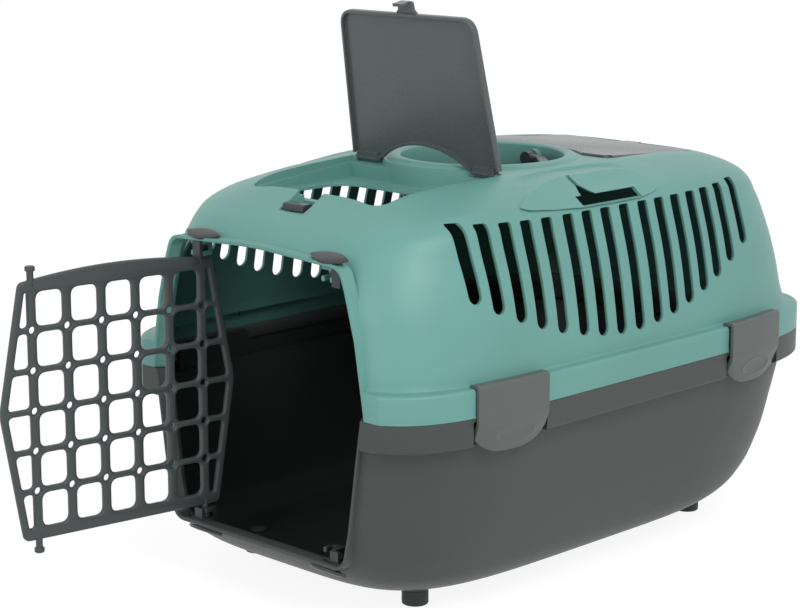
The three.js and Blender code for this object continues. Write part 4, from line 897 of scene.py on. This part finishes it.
def lever_shape(side, up):
    """A crowned leaf over the collar on a flat gate. The one at the sill is the same piece turned over."""
    gate_back = PIN_Y - PIN_HEAD - GAP
    half = 21.0
    bows = (((-10.5, -10.2), (10.5, -10.2), (-21, 0), (21, 0)), ((10.5, 8), (-10.5, 8), (21, 0), (-21, 0)))
    t = np.linspace(0, 1, 33)[:-1, None]
    outline = []
    for first, second, start, stop in np.array(bows):
        ends = (1 - t)**3 * start + t**3 * stop
        outline.append(ends + 3 * t * (1 - t)**2 * first + 3 * t**2 * (1 - t) * second)
    outline = np.concatenate(outline)
    level = COLLAR_TOP + 4.5 * (1 - (PIN_X - half) / 98) if up > 0 else -COLLAR_FOOT
    seat = level + 3.2 + 3.4
    centre = outline.mean(axis=0)
    rings = []
    crown = ((0.94, 0.0), (1.0, 0.5), (1.0, 1.9), (0.97, 2.5), (0.88, 2.9), (0.6, 3.3), (0.2, 3.4))
    for share, height in crown:
        ring = centre + (outline - centre) * share
        rings.append(np.concatenate([ring, np.full((len(ring), 1), height)], axis=1))
    tilt = about_x(np.radians(25))
    leaf = moved(solid(rings), lambda p: tilt(p) + np.array([-side * up * 8, gate_back - 1.5, seat]))
    neck = door_arch(PIN_X) if up > 0 else -DOOR_BOTTOM
    lever = add(leaf, block((-4.5, gate_back - 3, neck + 2), (4.5, gate_back, seat + 1.5)))
    if up < 0:
        moved(lever, lambda p: p * np.array([-1, 1, -1]))
    at = side * (PIN_X + (9 if side > 0 else 0))
    return moved(lever, lambda p: p + np.array([at + (4 if up > 0 else 0), 0, -2.4 if up > 0 else 0]))


def clip_shape(seat):
    """The clip's section (out, up) carried along the band; the tab's bottom rises to the ends as |v|^3.

    The face follows the band's curve, out - 1.3 (v / 38)^2. A finger oval with a fine ridge is dished into
    the tab.
    """
    crease, bottom = 152.5, 127.5
    flat = np.stack([np.full(26, 3.8), np.linspace(180.4, 154.5, 26)], axis=1)
    outer = np.concatenate([flat, arc((1.8, 154.0), 2, 0, -8, 3)])
    tab = np.stack([3.8 - 4.4 * np.linspace(0.04, 1, 34), np.linspace(151.5, bottom + 0.8, 34)], axis=1)
    toe = arc((-2.0, bottom + 1.1), 1.4, -10, -170, 6)
    inner_tab = np.stack([0.8 - 4.4 * np.linspace(1, 0.04, 10), np.linspace(bottom + 1.2, 151.5, 10)], axis=1)
    inner = np.array([(0.8, 153.5), (0.8, 181.3)])
    hook = np.array([(-7, 181.3), (-7, 182.9), (-6.2, 183.7)])
    top = np.concatenate([np.array([(-5.0, 183.9), (1.0, 183.9)]), arc((0.8, 180.9), 3.0, 80, 5, 7)])
    loop = np.concatenate([outer, tab, toe, inner_tab, inner, hook, top])
    v = np.linspace(-CLIP_FACE, CLIP_FACE, 97)[:, None]
    rise = 13.0 * np.abs(v / CLIP_FACE)**3.0
    below = loop[None, :, 1] < crease
    squeezed = crease + (loop[None, :, 1] - crease) * (crease - bottom - rise) / (crease - bottom)
    up = np.where(below, squeezed, loop[None, :, 1])
    out = np.broadcast_to(loop[None, :, 0], up.shape).copy()
    facing = np.zeros(len(loop), bool)
    facing[len(outer):len(outer) + len(tab)] = True
    near = np.sqrt(((v - 2) / 20.0)**2 + ((up - 140.5) / 7.0)**2)
    dish = -1.1 * np.clip(1 - near**2, 0, 1)**0.8 + 0.5 * np.exp(-((near - 1.07) / 0.12)**2)
    out += np.where(facing[None], dish, 0) - 1.3 * (v / CLIP_FACE)**2
    rings = np.stack([out, np.broadcast_to(v, up.shape), up], axis=2)
    clip = solid(rings)
    pin = (-6, 147)
    clip = add(clip, block((-6, -35, 145), (0.4, 35, 149)), rod("y", pin, 2.9, -CLIP_FACE, CLIP_FACE),
               rod("y", pin, 1.9, -46.7, 46.7))
    return moved(clip, seat)


def foot_shape(at):
    """A push-in foot: a turned peg with a rounded toe and a barbed head."""
    r = 1.5
    toe = arc((11 - r, r - 16), r, 270, 360, 6)
    head = [(11, -3.6), (10.7, -3.3), (5, -3.3), (5, 3.1), (7.5, 3.1), (6.9, 4.2), (5, 5.1), (0, 5.1)]
    return turned([(0, -16), *toe.tolist(), *head], at, 48)


def mark_inner(thing, wall, low, high, drop=0.0):
    """Writes the attribute inner: 1 inside the outer wall, between two heights and behind the doorway."""
    points = np.empty(len(thing.data.vertices) * 3, np.float32)
    thing.data.vertices.foreach_get("co", points)
    x, y, z = points.reshape(-1, 3).T.astype(float)
    level = z + drop * (np.clip(z - SHELF, 0, None) / ROOF_RISE)**2 * (y / CROWN_REACH)**2
    columns = (np.interp(level, wall[:, 2], wall[:, i]) for i in (0, 1, 5, 3, 6))
    inset, front, rear, power, front_power = columns
    n = np.where(y < 0, front_power, power)
    length = np.where(y < 0, RIM_FRONT - front, RIM_REAR - rear)
    inside = np.abs(x / (RIM_HALF_WIDTH - inset - 1.4))**n + np.abs(y / (length - 1.4))**n < 1
    inner = inside & (z > low) & (z < high) & (y > -FRONT_PLANE + 9)
    mark = thing.data.attributes.new("inner", "FLOAT", "POINT")
    mark.data.foreach_set("value", inner.astype(np.float32))
    return thing


def node(tree, kind, x, y, **values):
    """A shader node at a place on the sheet, with its settings."""
    made = tree.nodes.new(kind)
    made.location = (x, y)
    for key, value in values.items():
        setattr(made, key, value)
    return made


def moulded_plastic(name, colour, roughness, grain=0.5, streak=0.05, bevel=0.0008, edge_highlight=0.12, shade=None):
    """Moulded plastic: fine grain, faint flow clouds in colour and gloss, and a painted highlight that makes
    the edges slightly paler, in specks.

    Where a shade is given, faces marked inner take it, as deep shadow in the cabin.
    """
    material = bpy.data.materials.new(name)
    material.use_nodes = True
    tree = material.node_tree
    tree.nodes.clear()
    out = node(tree, "ShaderNodeOutputMaterial", 900, 0)
    shader = node(tree, "ShaderNodeBsdfPrincipled", 600, 0)
    shader.inputs["IOR"].default_value = 1.49
    shader.inputs["Specular IOR Level"].default_value = 0.42
    tree.links.new(shader.outputs[0], out.inputs[0])
    place = node(tree, "ShaderNodeTexCoord", -1200, 0)
    clouds = node(tree, "ShaderNodeTexNoise", -900, 200)
    clouds.inputs["Scale"].default_value = 9.0
    clouds.inputs["Detail"].default_value = 5.0
    fine = node(tree, "ShaderNodeTexNoise", -900, -100)
    fine.inputs["Scale"].default_value = 1500.0
    fine.inputs["Detail"].default_value = 2.0
    speck = node(tree, "ShaderNodeTexNoise", -900, -350)
    speck.inputs["Scale"].default_value = 260.0
    speck.inputs["Detail"].default_value = 3.0
    for texture in (clouds, fine, speck):
        tree.links.new(place.outputs["Object"], texture.inputs["Vector"])
    base = node(tree, "ShaderNodeValToRGB", -600, 200)
    dark = [c * (1 - streak) for c in colour]
    light = [min(c * (1 + streak), 1) for c in colour]
    base.color_ramp.elements[0].position = 0.3
    base.color_ramp.elements[0].color = (*dark, 1)
    base.color_ramp.elements[1].position = 0.7
    base.color_ramp.elements[1].color = (*light, 1)
    tree.links.new(clouds.outputs["Fac"], base.inputs["Fac"])
    # Painted highlight: where the bevel's rounded normal turns away from the true one, at the edges, the
    # colour is mixed in specks towards a paler one.
    edge = node(tree, "ShaderNodeBevel", -600, -500, samples=4)
    edge.inputs["Radius"].default_value = bevel
    flat = node(tree, "ShaderNodeNewGeometry", -600, -700)
    turn = node(tree, "ShaderNodeVectorMath", -400, -600, operation="DOT_PRODUCT")
    tree.links.new(edge.outputs[0], turn.inputs[0])
    tree.links.new(flat.outputs["Normal"], turn.inputs[1])
    edge_highlight_share = node(tree, "ShaderNodeMapRange", -200, -600)
    edge_highlight_share.inputs["From Min"].default_value = 1.0
    edge_highlight_share.inputs["From Max"].default_value = 0.75
    edge_highlight_share.inputs["To Max"].default_value = edge_highlight
    tree.links.new(turn.outputs["Value"], edge_highlight_share.inputs["Value"])
    speckled_highlight = node(tree, "ShaderNodeMath", 0, -500, operation="MULTIPLY")
    tree.links.new(edge_highlight_share.outputs[0], speckled_highlight.inputs[0])
    tree.links.new(speck.outputs["Fac"], speckled_highlight.inputs[1])
    highlighted = node(tree, "ShaderNodeMix", 200, 200, data_type="RGBA")
    highlighted.inputs["B"].default_value = (*[0.5 + 0.5 * c for c in colour], 1)
    tree.links.new(speckled_highlight.outputs[0], highlighted.inputs["Factor"])
    tree.links.new(base.outputs["Color"], highlighted.inputs["A"])
    tree.links.new(highlighted.outputs["Result"], shader.inputs["Base Color"])
    if shade:
        mark = node(tree, "ShaderNodeAttribute", 0, 400, attribute_name="inner")
        within = node(tree, "ShaderNodeMix", 400, 300, data_type="RGBA")
        within.inputs["B"].default_value = (*shade, 1)
        tree.links.new(mark.outputs["Fac"], within.inputs["Factor"])
        tree.links.new(highlighted.outputs["Result"], within.inputs["A"])
        tree.links.new(within.outputs["Result"], shader.inputs["Base Color"])
    gloss = node(tree, "ShaderNodeMapRange", -300, -100)
    gloss.inputs["To Min"].default_value = roughness - 0.06
    gloss.inputs["To Max"].default_value = roughness + 0.06
    tree.links.new(speck.outputs["Fac"], gloss.inputs["Value"])
    tree.links.new(gloss.outputs[0], shader.inputs["Roughness"])
    bump = node(tree, "ShaderNodeBump", 300, -300)
    bump.inputs["Strength"].default_value = grain
    bump.inputs["Distance"].default_value = 0.00006
    tree.links.new(fine.outputs["Fac"], bump.inputs["Height"])
    tree.links.new(edge.outputs[0], bump.inputs["Normal"])
    tree.links.new(bump.outputs[0], shader.inputs["Normal"])
    return material


def linear(r, g, b):
    """A colour given as 0 to 255 on screen, as light."""
    c = np.array([r, g, b]) / 255
    return tuple(float(v) for v in np.where(c <= 0.04045, c / 12.92, ((c + 0.055) / 1.055)**2.4))


green = moulded_plastic("green_moulded", linear(103, 157, 149), 0.42, shade=linear(64, 106, 98))
tray_grey = moulded_plastic("tray_grey_moulded", linear(64, 70, 68), 0.46, shade=linear(36, 39, 38))
clip_grey = moulded_plastic("clip_grey_satin", linear(88, 94, 92), 0.38, 0.35)
lid_grey = moulded_plastic("lid_grey_moulded", linear(82, 89, 89), 0.28, 0.2)
door_grey = moulded_plastic("door_grey_satin", linear(66, 72, 72), 0.4, 0.35)
trim_grey = moulded_plastic("dark_trim_satin", linear(54, 57, 60), 0.32, 0.3)
foot_grey = moulded_plastic("foot_dark_matt", linear(54, 58, 55), 0.6)


def finish(thing, name, material, rides, slot, *nodes, sharp=32):
    """Names a piece, writes it in metres, smooths it, ties it to its body and hides the nodes it stands for.
    The slot is not used.
    """
    thing.name = name
    thing.data.name = name
    moved(thing, lambda p: p * MM)
    thing.data.materials.clear()
    thing.data.materials.append(material)
    thing.data.shade_smooth()
    thing.data.set_sharp_from_angle(angle=np.radians(sharp))
    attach(thing, rides)
    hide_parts(*nodes)
    return thing


# Pieces
tray_side = np.concatenate([tray_wall(), band_rows([(0, TRAY_WALL + 2), (0, ROOF_BASE)])])
roof_side = np.concatenate([band_rows([(0, ROOF_BASE - 1), (0, SHELF - 1.4)]), roof_wall()])
tray = mark_inner(tray_shape(), tray_side, 1, ROOF_BASE)
roof = mark_inner(roof_shape(), roof_side, ROOF_BASE - 1, 298, CROWN_DROP)
finish(tray, "tray_moulding", tray_grey, "shell", "grey_tray", "tray")
finish(roof, "roof_moulding", green, "shell", "green_shell", "roof_shell")

grille, pins = door_shape()
for thing in (grille, *pins):
    moved(thing, place_door)
finish(grille, "door_grille_bars", door_grey, "door", "grey_door", "door_grille", sharp=50)
for index, pin in enumerate(pins):
    finish(pin, f"door_pin_{index + 1}", door_grey, "door", "grey_door", "door_grille")

hinge = np.array([0, -LID_HINGE, LID_AXIS])
front_lid = moved(lid_shape(), lambda p: about_x(LID_TILT - np.radians(LID_OPEN))(p) + hinge)
rear_lid = moved(lid_shape(), lambda p: half_turn(onto_roof(p)))
finish(front_lid, "front_lid_plate", lid_grey, "front_lid", "grey_lid", "front_lid")
finish(rear_lid, "rear_lid_plate", lid_grey, "rear_lid", "grey_lid", "rear_lid")
finish(catch_shape(), "front_catch_bar", trim_grey, "front_catch", "dark_trim", "front_lid_catch")
rear_catch = moved(catch_shape(), half_turn)
finish(rear_catch, "rear_catch_bar", trim_grey, "rear_catch", "dark_trim", "rear_lid_catch")
finish(handle_shape(), "handle_bail", trim_grey, "handle", "dark_trim", "carry_handle", sharp=40)
for up, level in ((1, "top"), (-1, "bottom")):
    for hand, side in HANDS.items():
        place = f"{level}_{hand}"
        finish(lever_shape(side, up), f"lever_leaf_{place}", trim_grey, f"lever_{place}", "dark_trim",
               f"door_lever_{place}", sharp=40)
for end, row in ((-1, "front"), (1, "rear")):
    for hand, side in HANDS.items():
        place = f"{row}_{hand}"
        finish(clip_shape(SEATS[side, end]), f"clip_plate_{place}", clip_grey, f"clip_{place}", "grey_clip",
               f"clip_{place}", sharp=40)
for name, at in FEET.items():
    finish(foot_shape(at), f"{name}_peg", foot_grey, "shell", "dark_foot", name)

# Floor, light and camera
floor_mesh = bpy.data.meshes.new("floor")
FLOOR_HALF = 6
FLOOR_HEIGHT = -0.016
corners = [(x * FLOOR_HALF, y * FLOOR_HALF, FLOOR_HEIGHT) for x, y in ((-1, -1), (1, -1), (1, 1), (-1, 1))]
floor_mesh.from_pydata(corners, [], [(0, 1, 2, 3)])
floor = bpy.data.objects.new("floor", floor_mesh)
bpy.context.scene.collection.objects.link(floor)
pale = bpy.data.materials.new("pale_floor")
pale.use_nodes = True
tree = pale.node_tree
tree.nodes.clear()
surface = node(tree, "ShaderNodeOutputMaterial", 600, 0)
blend = node(tree, "ShaderNodeMixShader", 400, 0)
matt = node(tree, "ShaderNodeBsdfDiffuse", 0, -100)
matt.inputs["Color"].default_value = (0.86, 0.86, 0.86, 1)
white = node(tree, "ShaderNodeEmission", 0, 100)
white.inputs["Strength"].default_value = 1.12
seen = node(tree, "ShaderNodeLightPath", -600, 200)
any_seen = node(tree, "ShaderNodeMath", -300, 200, operation="ADD")
share = node(tree, "ShaderNodeMath", -100, 250, operation="MULTIPLY")
share.inputs[1].default_value = 0.8
tree.links.new(seen.outputs["Is Camera Ray"], any_seen.inputs[0])
tree.links.new(seen.outputs["Is Glossy Ray"], any_seen.inputs[1])
tree.links.new(any_seen.outputs[0], share.inputs[0])
tree.links.new(share.outputs[0], blend.inputs[0])
tree.links.new(matt.outputs[0], blend.inputs[1])
tree.links.new(white.outputs[0], blend.inputs[2])
tree.links.new(blend.outputs[0], surface.inputs[0])
floor_mesh.materials.append(pale)

world = bpy.data.worlds.new("studio")
bpy.context.scene.world = world
world.use_nodes = True
tree = world.node_tree
tree.nodes.clear()
out = node(tree, "ShaderNodeOutputWorld", 600, 0)
soft = node(tree, "ShaderNodeBackground", 0, -100)
soft.inputs["Color"].default_value = (1, 1, 1, 1)
soft.inputs["Strength"].default_value = 0.62
bright = node(tree, "ShaderNodeBackground", 0, 100)
bright.inputs["Strength"].default_value = 1.0
bright.inputs["Color"].default_value = (1, 1, 1, 1)
blend = node(tree, "ShaderNodeMixShader", 300, 0)
seen = node(tree, "ShaderNodeLightPath", -300, 200)
any_seen = node(tree, "ShaderNodeMath", 0, 250, operation="MAXIMUM")
tree.links.new(seen.outputs["Is Camera Ray"], any_seen.inputs[0])
tree.links.new(seen.outputs["Is Glossy Ray"], any_seen.inputs[1])
tree.links.new(any_seen.outputs[0], blend.inputs[0])
tree.links.new(soft.outputs[0], blend.inputs[1])
tree.links.new(bright.outputs[0], blend.inputs[2])
tree.links.new(blend.outputs[0], out.inputs[0])


def lamp(name, place, aim, size, power):
    """A soft square lamp at place that faces aim."""
    light = bpy.data.lights.new(name, "AREA")
    light.shape = "RECTANGLE"
    light.size, light.size_y = size
    light.energy = power
    made = bpy.data.objects.new(name, light)
    bpy.context.scene.collection.objects.link(made)
    made.location = place
    made.rotation_euler = (Vector(aim) - Vector(place)).to_track_quat("-Z", "Y").to_euler()
    return made


lamp("key_lamp", (1.9, -0.6, 1.9), (0, 0, 0.15), (1.0, 1.0), 24)
lamp("corner_lamp", (0.7, -2.3, 1.2), (0.1, -0.15, 0.2), (0.5, 1.2), 7)
lamp("fill_lamp", (-0.6, -2.2, 1.1), (0, 0, 0.15), (1.6, 1.2), 4)

camera_data = bpy.data.cameras.new("camera")
camera_data.sensor_fit = "HORIZONTAL"
FOCAL_PIXELS = 2189.51
PHOTO_WIDTH = 800
SENSOR_WIDTH = 36
camera_data.sensor_width = SENSOR_WIDTH
camera_data.lens = FOCAL_PIXELS / PHOTO_WIDTH * SENSOR_WIDTH
camera_data.clip_end = 50
camera = bpy.data.objects.new("camera", camera_data)
bpy.context.scene.collection.objects.link(camera)
azimuth, elevation, distance = np.radians(44.71), np.radians(11.98), 1.91045
target = Vector((-0.03663, -0.06445, 0.19515))
level = np.cos(elevation)
back = Vector((np.sin(azimuth) * level, -np.cos(azimuth) * level, np.sin(elevation)))
camera.location = target + back * distance
camera.rotation_euler = back.to_track_quat("Z", "Y").to_euler()
bpy.context.scene.camera = camera
bpy.context.scene.view_settings.view_transform = "Standard"
